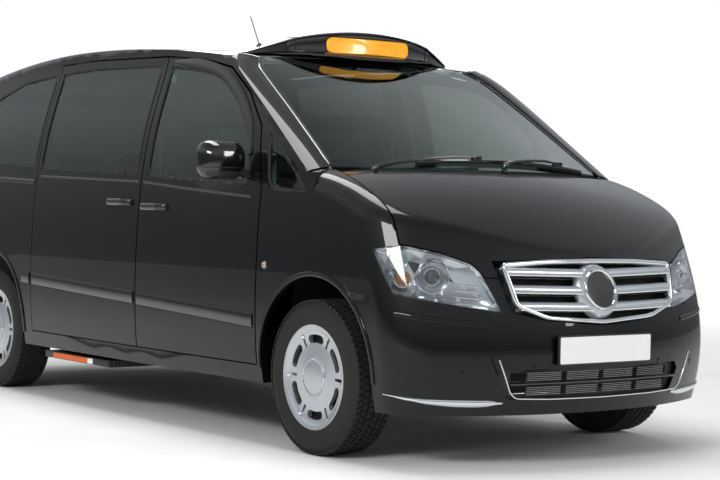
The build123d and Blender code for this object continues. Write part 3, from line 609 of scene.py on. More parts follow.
def noseAt(y, z, proud=0.0):
    rise = z - nose["level"]
    x = nose["foot"] - nose["slope"] * rise - nose["bend"] * rise ** 2 - y * y / (2 * nose["planRadius"])
    normal = Vector((1, y / nose["planRadius"], nose["slope"] + 2 * nose["bend"] * rise)).normalized()
    return Vector((x, y, z)) + normal * proud, normal


# half outline in y and z, top centre first
grilleHalf = [(0, 0.869), (0.25, 0.866), (0.488, 0.853), (0.452, 0.672), (0.300, 0.618), (0, 0.596)]
grilleOuter = walk(rounded(grilleHalf + [(-y, z) for y, z in grilleHalf[-2:0:-1]], 0.03), closed=True)
frameProfile = [(-0.010, -0.022), (-0.010, 0.002), (-0.007, 0.007), (0.0, 0.009), (0.006, 0.006),
                (0.009, 0.0), (0.010, -0.022)]
rings = []
for k, (y, z) in enumerate(grilleOuter):
    before, after = grilleOuter[k - 1], grilleOuter[(k + 1) % len(grilleOuter)]
    way = Vector((after[0] - before[0], after[1] - before[1])).normalized()
    inward = Vector((-way.y, way.x))
    if inward.dot(Vector((y, z - grille["middle"]))) > 0:
        inward = -inward
    centre = Vector((y, z)) + inward * grille["frameInset"]
    rings.append([noseAt(centre.x + inward.x * u, centre.y + inward.y * u, v)[0] for u, v in frameProfile])
grilleFrame = sweepRing("grilleFrame", rings, brightChrome, "vehicle", 50, looped=True)
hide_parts("grille")


def grilleHalfWidth(z):
    return 0.447 + (z - 0.672) * 0.2 if z > 0.66 else 0.30 + (z - 0.60) * 2.4


louvreProfile = [(-0.024, -0.030), (-0.021, -0.006), (-0.016, 0.002), (-0.006, 0.0055), (0.006, 0.0035),
                 (0.015, -0.006), (0.018, -0.016), (0.018, -0.030)]
louvreEdgeProfile = ((-0.004, -0.02), (-0.004, 0.006), (0, 0.0085), (0.004, 0.006), (0.004, -0.02))
for number, level in enumerate(grille["louvreLevels"]):
    louvre, edge = [], []
    half = grilleHalfWidth(level)
    for k in range(49):
        t = -1 + k / 24
        low = level - grille["bow"] * (1 - abs(t))
        louvre.append([noseAt(t * (half - 0.012), low + u, v)[0] for u, v in louvreProfile])
        edge.append([noseAt(t * (half - 0.014), low - 0.019 + u, v)[0] for u, v in louvreEdgeProfile])
    sweepRing("grilleLouvre" + str(number), louvre, silverLacquer, "vehicle", 45)
    sweepRing("grilleLouvreEdge" + str(number), edge, brightChrome, "vehicle", 45)
bossPoint, bossNormal = noseAt(0, grille["bossLevel"])
for name, material, profile in (
        ("grilleBossRing", brightChrome, [(-0.03, 0.077), (0.010, 0.077), (0.017, 0.080), (0.019, 0.0845),
                                          (0.016, 0.089), (0.006, 0.091), (-0.03, 0.091)]),
        ("grilleBoss", glossPlastic, [(-0.03, 0.0), (0.0125, 0.0), (0.012, 0.03), (0.0108, 0.06),
                                      (0.0098, 0.077), (-0.03, 0.077)]),
        ("grilleBossDish", silverLacquer, [(-0.032, 0.120), (-0.014, 0.117), (-0.002, 0.110), (0.006, 0.101),
                                           (0.009, 0.091), (-0.032, 0.090)])):
    lathe(name, profile, bossPoint, bossNormal, material, "vehicle", 96, 50)


def grilleInside(y, z):
    return abs(y) < grilleHalfWidth(z) - 0.004 and 0.607 + abs(y) * 0.05 < z < 0.862 - abs(y) * 0.03


meshPanel("grilleMesh", lambda u, v: noseAt(u, v, -grille["meshDepth"]), (-0.5, 0.5), (0.60, 0.87),
          grille["meshPitch"], grille["meshBar"], grainedPlastic, "vehicle", grilleInside)
print("grille built")


# Front bumper: plate, chrome corner strips, sensors and intake

plate = {"halfWidth": 0.26, "halfHeight": 0.0555, "level": 0.4916, "border": (0.006, 0.0065), "screwY": 0.18}
platePoint = noseAt(0, plate["level"], 0.008)[0]


def plateFrame(u, v, back=0.0):
    return platePoint + Vector((-u * u * 0.02 - back, u, v)), Vector((1, 0, 0))


def plateOutline(border, radius):
    w = plate["halfWidth"] + border[0]
    h = plate["halfHeight"] + border[1]
    return rounded([(-w, -h), (w, -h), (w, h), (-w, h)], radius)


plaque("plateCarrier", plateOutline(plate["border"], 0.012), lambda u, v: plateFrame(u, v, 0.008), 0.009,
       grainedPlastic, "vehicle")
plaque("frontPlate", plateOutline((0, 0), 0.008), plateFrame, 0.0025, plateWhite, "vehicle", 0.001)
for y in (-plate["screwY"], plate["screwY"]):
    lathe("plateScrew" + str(y), [(-0.002, 0.0), (0.0042, 0.0), (0.0038, 0.0035), (0.0025, 0.006),
                                  (-0.002, 0.006)],
          plateFrame(y, 0.0)[0], (1, 0, 0), plateWhite, "vehicle", 20)

# bright strip low on the corner, widest at its inner end; crease that runs from the lamp round to the arch
chromeWay = [(0.495, 0.279), (0.60, 0.277), (0.70, 0.280), (0.80, 0.288), (0.86, 0.298), (0.895, 0.309)]
creaseWay = [(0.56, 0.600), (0.70, 0.612), (0.82, 0.628), (0.88, 0.640), (0.915, 0.652)]
creaseEnd = 2.14  # short of the wheel arch
for label, side in reversed(sides.items()):
    name = label.capitalize()
    stations = [frontHit(side * y * 0.985, z) for y, z in walk(chromeWay, 0.012)]
    strip("bumperChrome" + name, [hit for hit in stations if hit], 0.028, 0.007, brightChrome, "vehicle",
          taper=(0.3, 0.9, 1, 1, 0.9, 0.75, 0.5, 0.2))
    stations = [frontHit(side * y, z) for y, z in walk(creaseWay, 0.015)]
    strip("bumperCrease" + name, [hit for hit in stations if hit and hit[0].x > creaseEnd], 0.020, 0.0035,
          clearcoatBlack, "vehicle", sink=0.001)
    for y, z in ((0.36, 0.425), (0.66, 0.405)):
        r = 0.011
        point, normal = frontHit(side * y, z) or noseAt(side * y, z)
        lathe("parkSensor" + name + str(y),
              [(-0.003, 0.0), (0.0022, 0.0), (0.002, r * 0.6), (0.0012, r * 0.92), (-0.003, r)],
              point, normal, clearcoatBlack, "vehicle", 32)
        lathe("sensorRing" + name + str(y),
              [(-0.003, r + 0.0006), (0.0008, r + 0.0006), (0.001, r + 0.002), (-0.003, r + 0.0032)],
              point, normal, sealRubber, "vehicle", 32)


# Lower intake: a thin bright edge open at the top, one dividing bar and the slats behind it

intake = {"slatHalf": 0.088, "slatCentres": (-0.31, -0.105, 0.10, 0.305), "rows": (0.308, 0.369),
          "slatPitch": 0.0078, "slatDepth": 0.022, "barHalf": 0.49, "barLevel": 0.357}
intakeHalf = [(0.548, 0.462), (0.520, 0.395), (0.490, 0.325), (0.462, 0.300), (0.300, 0.292), (0, 0.289)]
intakeWay = rounded(intakeHalf + [(-y, z) for y, z in reversed(intakeHalf[:-1])], 0.02, closed=False)
edgeStations = []
for y, z in walk(intakeWay):
    # the true surface stands in at the outer corners, where it stays close to the plain nose
    guess, real = noseAt(y, z, -0.001), frontHit(y, z) or noseAt(y, z)
    edgeStations.append(real if abs(real[0].x - guess[0].x) < 0.022 and abs(y) > 0.50 else guess)
strip("intakeEdge", edgeStations, 0.006, 0.004, brightChrome, "vehicle")
slatSection = ((-0.010, -0.0016), (0.002, -0.0012), (0.002, 0.0012), (-0.010, 0.0016))
slatUnit = unitMesh("intakeSlatUnit",
                    [(x, y, z) for y in (-intake["slatHalf"], intake["slatHalf"]) for x, z in slatSection],
                    [(0, 1, 2, 3), (7, 6, 5, 4), (0, 4, 5, 1), (1, 5, 6, 2), (2, 6, 7, 3), (3, 7, 4, 0)])
slats = []
for y in intake["slatCentres"]:
    for row in intake["rows"]:
        for k in range(5):
            point, normal = noseAt(y, row + k * intake["slatPitch"], -intake["slatDepth"])
            slats.append((Matrix.Rotation(math.atan2(normal.y, normal.x), 3, "Z"), point))
repeatPiece("intakeSlats", slatUnit, slats, discSteel, "vehicle")
barStations = [noseAt(intake["barHalf"] * (k / 30 - 1), intake["barLevel"], -0.012) for k in range(61)]
strip("intakeBar", barStations, 0.010, 0.006, glossPlastic, "vehicle", sink=0.012)


# Headlamps: a bright tray with a main bowl, two small bowls and their bulbs behind the clear lens

# u runs across the lamp's own plane, which is turned from the front
lampOutline = [(-1.169, 0.648), (-1.000, 0.673), (-0.720, 0.719), (-0.627, 0.900), (-0.756, 0.918),
               (-0.905, 0.888), (-1.040, 0.842), (-1.079, 0.806)]
lampTurn = math.radians(40)
bowlTurn = math.radians(30)
trayRings = ((0.985, 0.0065), (0.95, 0.030), (0.86, 0.052), (0.60, 0.066), (0.30, 0.074), (0.02, 0.076),
             (0.02, 0.079), (0.60, 0.070), (0.88, 0.056), (0.985, 0.030))  # share of the outline, depth
bowls = (("Main", (-0.880, 0.790), 0.064), ("Upper", (-0.738, 0.858), 0.034),
         ("Turn", (-0.760, 0.782), 0.032))
projector = (
    ("Projector", clearLens, [(-0.05, 0.0), (0.006, 0.0), (0.0035, 0.012), (-0.004, 0.022), (-0.016, 0.0275),
                              (-0.05, 0.028)]),
    ("ProjectorRing", brightChrome, [(-0.04, 0.0285), (-0.014, 0.0285), (-0.010, 0.032), (-0.014, 0.036),
                                     (-0.04, 0.036)]),
    ("ProjectorShade", glossPlastic, [(-0.041, 0.0), (-0.038, 0.0), (-0.038, 0.027), (-0.041, 0.027)]),
)


def lampHit(u, z, side):
    outward = Vector((math.cos(lampTurn), side * math.sin(lampTurn), 0))
    start = Vector((-u * math.sin(lampTurn), side * u * math.cos(lampTurn), z))
    return cast(start + outward * 3.4, -outward) or (start + outward * 2.2, outward)


lampLoop = walk(rounded(lampOutline, 0.02), closed=True)
lampMid = [sum(p[i] for p in lampOutline) / len(lampOutline) for i in (0, 1)]
for label, side in sides.items():
    name = label.capitalize()
    outward = Vector((math.cos(lampTurn), side * math.sin(lampTurn), 0))
    rings = []
    for share, depth in trayRings:
        spots = [[m + (w - m) * share for m, w in zip(lampMid, spot)] for spot in lampLoop]
        rings.append([lampHit(u, z, side)[0] - outward * depth for u, z in spots])
    tray = sweepRing("lampTray" + name, rings, reflector, "vehicle", 35, looped=True)
    if side > 0:
        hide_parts("headlamps")
    strip("lampSeal" + name, [lampHit(u, z, side) for u, z in lampLoop], 0.006, 0.0012, sealRubber, "vehicle",
          closed=True)
    axis = Vector((math.cos(bowlTurn), side * math.sin(bowlTurn), 0.04))
    for part, (u, z), r in bowls:
        centre = lampHit(u, z, side)[0] - outward * (0.022 + r * 0.12)
        deep = 0.052 * r / 0.066
        bowl = [(-deep, 0.004)] + [(-deep * (1 - t * t), r * t) for t in (0.2, 0.35, 0.5, 0.65, 0.8, 0.95)]
        bowl += [(0.004, r), (0.008, r + 0.002), (0.009, r + 0.005), (0.004, r + 0.007),
                 (-deep * 0.6, r + 0.006), (-deep - 0.004, r * 0.5), (-deep - 0.004, 0.004)]
        lathe("lampBowl" + part + name, bowl, centre, axis, reflector, "vehicle", 64, 30)
        if part == "Main":
            for piece, material, profile in projector:
                lathe("lamp" + piece + name, profile, centre, axis, material, "vehicle", 48, 30)
        else:
            bulb = [(-deep, 0.0), (-deep + 0.024, 0.0), (-deep + 0.022, 0.007), (-deep + 0.012, 0.0105),
                    (-deep, 0.011)]
            lathe("lampBulb" + part + name, bulb, centre, axis, amberBulb if part == "Turn" else clearLens,
                  "vehicle", 32)
    # bright steps at the lamp's outer end, each shorter than the one below
    for k in range(4):
        way = []
        for m in range(9):
            u = -1.120 + 0.018 * k + (0.145 - 0.016 * k) * m / 8
            way.append(lampHit(u, 0.672 + 0.026 * k + 0.012 * m / 8, side)[0] - outward * 0.024)
        tube("lampStep" + name + str(k), way, 0.0045, brightChrome, "vehicle", 10)
print("bumper and lamps detailed")


# Sides: window rubbers, mouldings, handles, repeaters, arch lips and steps

windowLoops = {
    "frontWindow": [(0.200, 1.206), (1.120, 1.160), (1.078, 1.412), (0.950, 1.548), (0.738, 1.672),
                    (0.510, 1.722), (0.200, 1.752)],
    "slidingWindow": [(-1.003, 1.243), (0.098, 1.212), (0.098, 1.762), (-0.640, 1.782), (-1.003, 1.770)],
    "quarterWindow": [(-2.080, 1.300), (-1.077, 1.247), (-1.077, 1.768), (-1.480, 1.742), (-1.800, 1.660),
                      (-2.020, 1.500)],
    "quarterLight": [(1.285, 1.150), (1.570, 1.128), (1.452, 1.238), (1.230, 1.400)],
}


def bowHandle(name, side, x1, x2, z, body):
    # a pull handle: a bowed oval bar over a shallow cup
    middle = (x1 + x2) / 2
    point, normal = sideHit(middle, z, side)

    def panelPoint(x, level):
        return Vector((x, point.y - (x - middle) * normal.x / normal.y, level))

    rings = []
    for k in range(25):
        t = k / 24
        rise = 0.004 + 0.030 * min(1, math.sin(math.pi * t) * 1.7) ** 0.8
        wide = 0.015 + 0.003 * math.sin(math.pi * t)
        base = panelPoint(x1 + (x2 - x1) * t, z)
        rings.append([base + normal * (rise + 0.008 * math.sin(a)) + Vector((0, 0, wide * math.cos(a)))
                      for a in around(16)])
    sweepRing(name, rings, glossPlastic, body, 50)
    cup = [(middle + 0.058 * math.cos(a), z + 0.034 * math.sin(a)) for a in around(32)]
    plaque(name + "Cup", cup, lambda u, v: (panelPoint(u, v), normal), 0.0012, sealRubber, body, 0.001)
    lathe(name + "Lock", [(-0.002, 0.0), (0.0015, 0.0), (0.0025, 0.006), (0.0015, 0.008), (-0.002, 0.008)],
          panelPoint(x2, z) + normal * 0.003, normal, glossPlastic, body, 24)


def archStations(centreX, side):
    out = []
    for k in range(61):
        a = math.radians(arch["start"] + (arch["stop"] - arch["start"]) * k / 60)
        hit = sideHit(centreX + arch["radius"] * math.cos(a), arch["level"] + arch["radius"] * math.sin(a),
                      side)
        if hit and abs(hit[0].y) > arch["outerY"]:
            out.append(hit)
    return out


wheelPlace = {"front": 1.654, "rear": -1.546, "y": 0.815, "z": 0.336}
arch = {"level": 0.372, "radius": 0.409, "start": -4, "stop": 184, "outerY": 0.75}
mouldings = (("Sliding", [(-1.015, 0.645), (0.128, 0.602)]),
             ("Door", [(0.168, 0.600), (0.77, 0.575), (1.200, 0.555)]),
             ("Rear", [(-1.150, 0.650), (-1.055, 0.647)]))
repeaterParts = (
    ("", clearLens, 40, [(-0.002, 0.0), (0.009, 0.0), (0.0085, 0.008), (0.006, 0.0145), (0.001, 0.018),
                         (-0.002, 0.018)]),
    ("Mirror", reflector, 32, [(-0.001, 0.0), (0.0012, 0.0), (0.0016, 0.012), (0.003, 0.0165),
                               (-0.001, 0.0168)]),
    ("Bulb", amberBulb, 24, [(-0.001, 0.0), (0.005, 0.0), (0.003, 0.006), (-0.001, 0.009)]),
)
# nosing with a pale end cap and a plain edge: ends in x, levels in z
stepParts = (("stepNosing", -0.800, -0.410, 0.2255, 0.2525, orangeNosing),
             ("stepNosingEnd", -0.406, -0.350, 0.2255, 0.2525, plateWhite),
             ("stepEdge", -0.346, -0.172, 0.2245, 0.2535, grainedPlastic))
stepFace = (0.912, 0.918)
for label, side in sides.items():
    name = label.capitalize()
    door = "door_" + label
    for window, loop in windowLoops.items():
        strip(window + "Rubber" + name, sideStations(rounded(loop, 0.045), side, 0.03, closed=True), 0.017,
              0.0035, sealRubber, door if window == "frontWindow" else "vehicle", closed=True, sink=0.006)
    bowHandle("slidingHandle" + name, side, -0.165, 0.075, 1.070, "vehicle")
    bowHandle("doorHandle" + name, side, 0.185, 0.420, 1.050, door)
    for part, way in mouldings:
        body = door if part == "Door" else "vehicle"
        strip("sideMoulding" + part + name, sideStations(way, side, 0.03), 0.064, 0.0065, glossPlastic, body)
        strip("mouldingShadow" + part + name, sideStations([(x, z - 0.036) for x, z in way], side, 0.03),
              0.006, 0.0012, sealRubber, body)
    for part, way, body in (("", [(-0.985, 1.205), (0.125, 1.176)], "vehicle"),
                            ("Door", [(0.172, 1.174), (0.548, 1.146), (1.150, 1.108)], door)):
        strip("beltLine" + part + name, sideStations(way, side, 0.03), 0.010, 0.0022, glossPlastic, body)
    for part in ("Front", "Rear"):
        strip("archLip" + part + name, archStations(wheelPlace[part.lower()], side), 0.022, 0.007,
              clearcoatBlack, "vehicle", sink=0.001)
    point, normal = sideHit(1.290, 0.805, side)
    for part, material, segments, profile in repeaterParts:
        lathe("repeater" + part + name, profile, point, normal, material, "vehicle", segments)
    low, high = sorted(side * y for y in stepFace)
    for part, x1, x2, z1, z2, material in stepParts:
        roundedBox(part + name, (x1, low, z1), (x2, high, z2), 0.0025, material, "step_" + label)
    strip("slidingTrack" + name, sideStations([(-1.06, 1.175), (-1.95, 1.205)], side, 0.05), 0.026, 0.003,
          glossPlastic, "vehicle")
print("sides detailed")


# Wheels: tyres with a moulded tread, trims with a cap and brake discs behind the vents

tyreHalf = [(-0.086, 0.2045), (-0.092, 0.212), (-0.0955, 0.225), (-0.0985, 0.232), (-0.0985, 0.236),
            (-0.0995, 0.250),
            (-0.1020, 0.262), (-0.1025, 0.275), (-0.1015, 0.290), (-0.0985, 0.305), (-0.0975, 0.3065),
            (-0.0930, 0.3150), (-0.0880, 0.3235), (-0.0800, 0.3275), (-0.0700, 0.3285)]
tyreProfile = tyreHalf + [(0.0, 0.3290)] + [(-h, r) for h, r in reversed(tyreHalf)]
tyreProfile += [(0.06, 0.2040), (-0.06, 0.2040)]  # closed by the bead seat inside
# rows of blocks: place across the tread and half width of each block
tread = {"rows": ((-0.079, 0.013), (-0.050, 0.013), (-0.0185, 0.0135), (0.0185, 0.0135), (0.050, 0.013),
                  (0.079, 0.013)),
         "count": 72, "gap": 0.0022, "radius": 0.336, "skew": 0.004, "draft": 0.0012, "shoulder": 0.07}
boxFaces = [(0, 3, 2, 1), (4, 5, 6, 7), (0, 1, 5, 4), (1, 2, 6, 5), (2, 3, 7, 6), (3, 0, 4, 7)]
wheelParts = (
    ("wheelRimEdge", silverLacquer, 96, [(0.0905, 0.2205), (0.0955, 0.2225), (0.0965, 0.2262),
                                         (0.0945, 0.2300), (0.0905, 0.2290)]),
    ("wheelCap", silverLacquer, 72, [(0.090, 0.0), (0.0975, 0.0), (0.0968, 0.030), (0.0950, 0.060),
                                     (0.0925, 0.071), (0.0885, 0.074)]),
    ("wheelCapRing", brightChrome, 72, [(0.088, 0.0745), (0.0925, 0.0755), (0.0932, 0.078), (0.0915, 0.0805),
                                        (0.086, 0.0815)]),
    ("brakeDisc", discSteel, 72, [(0.008, 0.062), (0.008, 0.150), (0.020, 0.150), (0.020, 0.105),
                                  (0.034, 0.100), (0.034, 0.062)]),
    ("wheelShade", castIron, 72, [(0.036, 0.062), (0.036, 0.185), (0.0385, 0.185), (0.0385, 0.062)]),
)
for corner in ("front_left", "front_right", "rear_left", "rear_right"):
    end, label = corner.split("_")
    side = sides[label]
    body = "wheel_" + corner
    centre = Vector((wheelPlace[end], side * wheelPlace["y"], wheelPlace["z"]))
    tag = end.capitalize() + label.capitalize()
    carcass = lathe("tyreCarcass" + tag, tyreProfile, centre, (0, 1, 0), tyreRubber, body, 120)
    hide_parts("tyre_" + corner)
    for row, (offset, wide) in enumerate(tread["rows"]):
        odd = row % 2
        long = math.pi * tread["radius"] / tread["count"] - tread["gap"]
        levels = (0.3240, 0.3345) if abs(offset) > tread["shoulder"] else (0.3275, 0.3360)
        skew = tread["skew"] * (1 if odd else -1)
        block = [(u * (long - inset) + skew * w, offset + w * (wide - inset), r)
                 for r, inset in zip(levels, (0.0, tread["draft"]))
                 for u, w in ((-1, -1), (1, -1), (1, 1), (-1, 1))]
        turns = [(Matrix.Rotation(2 * math.pi * (k + odd / 2) / tread["count"], 3, "Y"), centre)
                 for k in range(tread["count"])]
        repeatPiece("tread" + tag + str(row), unitMesh("treadUnit" + tag + str(row), block, boxFaces), turns,
                    tyreRubber, body)
    for part, material, segments, profile in wheelParts:
        lathe(part + tag, profile, centre, (0, side, 0), material, body, segments)
print("wheels detailed")


# Screen and pillars: bonded seal, pillar cover, wipers

screenEdge = [(1.600, 0.800, 1.247), (1.247, 0.750, 1.477), (0.967, 0.714, 1.655), (0.855, 0.690, 1.722),
              (0.765, 0.625, 1.775)]


def smoothed(stations, reach=3):
    # places and normals averaged over their neighbours, ends kept
    out = []
    for i in range(len(stations)):
        near = stations[max(0, i - reach):i + reach + 1]
        point = sum((a for a, b in near), Vector()) / len(near)
        if i < reach or i >= len(stations) - reach:
            point = stations[i][0]
        out.append((point, sum((b for a, b in near), Vector()).normalized()))
    return out


screenLook = Vector((0.42, 0.62, 0.66)).normalized()
for label, side in sides.items():
    name = label.capitalize()
    edge = curveThrough([(x, side * y, z) for x, y, z in screenEdge], 12)
    look = Vector((screenLook.x, side * screenLook.y, screenLook.z))
    sealWay, coverWay = [], []
    for i, place in enumerate(edge):
        along = (edge[min(i + 1, len(edge) - 1)] - edge[max(i - 1, 0)]).normalized()
        outboard = along.cross(look).normalized()
        if outboard.y * side < 0:
            outboard = -outboard
        for shift, store in ((-0.004, sealWay), (0.054, coverWay)):
            hit = cast(place + outboard * shift + look * 0.4, -look)
            if hit:
                store.append(hit)
    strip("screenSeal" + name, smoothed(sealWay), 0.020, 0.005, glossPlastic, "vehicle", sink=0.010)
    strip("pillarCover" + name, smoothed(coverWay, 5), 0.098, 0.0085, clearcoatBlack, "vehicle", sink=0.016)
header = smoothed([topHit(0.752, 0.60 * (k / 30 - 1)) for k in range(61)])
strip("screenHeader", header, 0.022, 0.003, glossPlastic, "vehicle", sink=0.008)


def screenPoint(x, y, lift):
    point, normal = topHit(x, y)
    return point + normal * lift


def bladeX(y):
    return 1.742 - 0.16 * y * y


# pivot in x and y, then the blade's two ends in y
wipers = {"Driver": (1.700, -0.630, -0.420, 0.215), "Passenger": (1.788, 0.035, 0.125, 0.690)}
bladeUp = Vector((0.35, 0, 0.94)).normalized()
armRises = ((0, 0.012), (0.25, 0.022), (0.7, 0.018))  # share of the way to the blade, height over it
for name, (pivotX, pivotY, y1, y2) in wipers.items():
    ys = [y1 + (y2 - y1) * k / 40 for k in range(41)]
    strip("wiperRubber" + name, [(screenPoint(bladeX(y), y, 0.0005), bladeUp) for y in ys], 0.007, 0.012,
          sealRubber, "vehicle", sink=0.0)
    strip("wiperBlade" + name, [(screenPoint(bladeX(y), y, 0.011), bladeUp) for y in ys], 0.016, 0.010,
          glossPlastic, "vehicle", sink=0.0, taper=(0.45, 0.9, 1, 1, 0.9, 0.45))
    middle = (y1 + y2) / 2
    pivot = screenPoint(pivotX, pivotY, 0.012)
    joint = screenPoint(bladeX(middle), middle, 0.030)
    arm = [pivot.lerp(joint, share) + Vector((0, 0, rise)) for share, rise in armRises]
    tube("wiperArm" + name, curveThrough(arm + [joint]), 0.0095, glossPlastic, "vehicle", 12, 0.55)
    lathe("wiperPivot" + name, [(-0.03, 0.0), (0.020, 0.0), (0.019, 0.009), (0.013, 0.014), (-0.03, 0.016)],
          pivot, (0.3, 0, 0.95), glossPlastic, "vehicle", 32)
    roundedBox("wiperClip" + name, joint - Vector((0.010, 0.026, 0.014)),
               joint + Vector((0.010, 0.026, 0.007)), 0.004, glossPlastic, "vehicle")
print("screen, pillars and wipers added")


# Roof sign: one wing-shaped housing with a peaked brow and a chin, and its blank amber lens

sign = {"faceX": 0.800, "sweep": 0.46, "crown": 1.938, "shoulder": 0.40, "shoulderTop": 1.893, "tip": 0.615,
        "roofGap": 0.002, "lens": (0.25, 1.8225, 1.8985)}


def signFace(y):
    return sign["faceX"] - sign["sweep"] * y * y


def roofAt(x, y):
    return topHit(x, y)[0].z


def signLow(y):
    return roofAt(signFace(y), y) + sign["roofGap"]


signTipTop = signLow(sign["tip"]) + 0.012


def signTop(y):
    past = abs(y) - sign["shoulder"]
    if past < 0:
        return sign["crown"] - 0.34 * abs(y) ** 2.2
    return sign["shoulderTop"] + (signTipTop - sign["shoulderTop"]) * past / (sign["tip"] - sign["shoulder"])


def signSection(y):
    x, top, low = signFace(y), signTop(y), signLow(y)
    height = top - low
    fade = max(0.0, min(1.0, (0.62 - abs(y)) / 0.22))
    deep = 0.10 + 0.14 * fade
    lip = 0.014 * fade + 0.003
    chin = 0.026 * fade + 0.004
    # chin, lens wall and brow as steps in front of the face and shares of the height
    front = ((chin, 0.08), (chin * 1.05, 0.15), (chin * 0.7, 0.215), (0.002, 0.25), (-0.002, 0.30),
             (-0.004, 0.80), (-0.001, 0.855), (lip, 0.89), (lip * 0.9, 0.935), (lip * 0.2, 0.97))
    back = ((-0.020, -0.001), (-0.060, 0), (-0.4 * deep, -height * 0.05), (-0.75 * deep, -height * 0.28))
    return ([(x - w, roofAt(x - w, y) - 0.012) for w in (deep, 0.02)] + [(x + chin * 0.4, low + 0.004)]
            + [(x + u, low + height * v) for u, v in front] + [(x + u, top + v) for u, v in back]
            + [(x - 0.95 * deep, low + height * 0.30)])


rings = []
for k in range(97):
    y = sign["tip"] * (k / 48 - 1)
    rings.append([Vector((x, y, z)) for x, z in signSection(y)])
signHousing = sweepRing("signHousing", rings, glossPlastic, "vehicle", 38)
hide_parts("taxi_sign")


def signPlace(y, z):
    return Vector((signFace(y) - 0.004, y, z)), Vector((1, 2 * sign["sweep"] * y, 0.03)).normalized()


half, low, high = sign["lens"]
lensEdge = rounded([(-half, low), (half, low), (half, high), (-half, high)], 0.038, steps=9)
signLens = plaque("signLens", walk(lensEdge, closed=True), signPlace, 0.013, amberAcrylic, "vehicle", 0.006)
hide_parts("sign_lens")
strip("signLensSeal", [signPlace(y, z) for y, z in walk(lensEdge, 0.015, closed=True)], 0.007, 0.006,
      sealRubber, "vehicle", closed=True)
for label, side in reversed(sides.items()):
    # joint between the housing and its swept end
    joint = [Vector((x + 0.0012, side * 0.402, z)) for x, z in signSection(0.402)[2:16]]
    tube("signJoint" + label.capitalize(), joint, 0.0016, sealRubber, "vehicle", 8)
print("sign built")


# Mirrors: silvered glass in a dark bezel, a shadow line above the matt lower shell

mirrorTree = treeOf(["mirror_left", "mirror_right"])
glassEdge = rounded([(0.930, 1.212), (1.135, 1.216), (1.138, 1.325), (1.110, 1.345), (0.935, 1.340)], 0.026)
glassInner = [(1.032 + (u - 1.032) * 0.93, 1.277 + (v - 1.277) * 0.90) for u, v in glassEdge]
deflectorWay = [(1.100, 1.300), (1.060, 1.430), (0.940, 1.562), (0.735, 1.690), (0.510, 1.742),
                (0.230, 1.770)]


def shellWay(side, length, z, lean):
    # across the front of a mirror's shell at one level
    hits = [cast((1.6, side * (0.925 + length * k / 40), z), (-1, 0, 0), mirrorTree) for k in range(41)]
    return [(hit[0], Vector((1, 0, lean)).normalized()) for hit in hits if hit]


for label, side in sides.items():
    name = label.capitalize()
    body = bodyOf["mirror_" + label]
    for part, outline, x, depth, material in (("mirrorBezel", glassEdge, 1.0655, 0.002, grainedPlastic),
                                              ("mirrorGlass", glassInner, 1.0635, 0.0016, reflector)):
        plaque(part + name, outline, lambda u, v: (Vector((x, side * u, v)), Vector((-1, 0, 0))), depth,
               material, body)
    strip("mirrorSeam" + name, shellWay(side, 0.23, 1.236, 0), 0.004, 0.0012, sealRubber, body)
    strip("mirrorLower" + name, smoothed(shellWay(side, 0.215, 1.214, -0.15), 2), 0.036, 0.003,
          grainedPlastic, body, sink=0.006)
    # smoked deflector along the top of the door window
    way = smoothed(sideStations(rounded(deflectorWay, 0.08, closed=False), side, 0.03), 2)
    strip("windDeflector" + name, way, 0.060, 0.012, smokedAcrylic, "door_" + label, sink=0.001,
          taper=(0.4, 1, 1, 1, 1, 1, 0.4))
print("mirrors finished")


# Seats: stuffed cushions with bolsters and welts over dark plinths

weltRadius = 0.0042


def cushion(name, size, place, body, radius, crown, grooves=(), cuts=18):
    # a box rounded all over, puffed on its faces and drawn in along its stitched lines
    half = Vector(size) / 2
    r = min(radius, min(half) * 0.95)
    bm = bmesh.new()
    bmesh.ops.create_cube(bm, size=2)
    bmesh.ops.subdivide_edges(bm, edges=bm.edges[:], cuts=cuts, use_grid_fill=True)
    for v in bm.verts:
        u = v.co.copy()
        p = Vector([u[k] * half[k] for k in range(3)])
        inner = Vector([max(-half[k] + r, min(half[k] - r, p[k])) for k in range(3)])
        away = p - inner
        if away.length > 1e-9:
            p = inner + away.normalized() * r
        for k in range(3):
            others = [m for m in range(3) if m != k]
            puff = crown * (1.0 if k == 2 else 0.5)
            p[k] += puff * u[k] * (1 - u[others[0]] ** 2) * (1 - u[others[1]] ** 2)
        if u.z > 0:
            for axis, at in grooves:
                other = 1 - axis
                p.z -= 0.010 * math.exp(-((u[axis] - at) / 0.045) ** 2) * (1 - u[other] ** 8) * u.z
        v.co = place @ p
    mesh = bpy.data.meshes.new(name)
    bm.to_mesh(mesh)
    bm.free()
    finishMesh(mesh, 70)
    piece = addPiece(name, mesh, moquette, body)
    edge = []
    for a in around(64):
        x = max(-1, min(1, 1.25 * math.cos(a))) * (half.x - r * 0.35)
        y = max(-1, min(1, 1.25 * math.sin(a))) * (half.y - r * 0.35)
        edge.append(place @ Vector((x, y, half.z - r * 0.24)))
    rings = []
    for k in range(64):
        along = (edge[(k + 1) % 64] - edge[k - 1]).normalized()
        across = along.cross(place.to_3x3() @ Vector((0, 0, 1))).normalized()
        up = along.cross(across)
        rings.append([edge[k] + (across * math.cos(t) + up * math.sin(t)) * weltRadius for t in around(8)])
    sweepRing(name + "Welt", rings, sealRubber, body, looped=True)
    return piece


def leaning(x, y, z, lean):
    # a cushion's frame for a backrest: its crowned face looks forward and a little up
    return Matrix.Translation((x, y, z)) @ Matrix.Rotation(math.radians(90 - lean), 4, "Y")


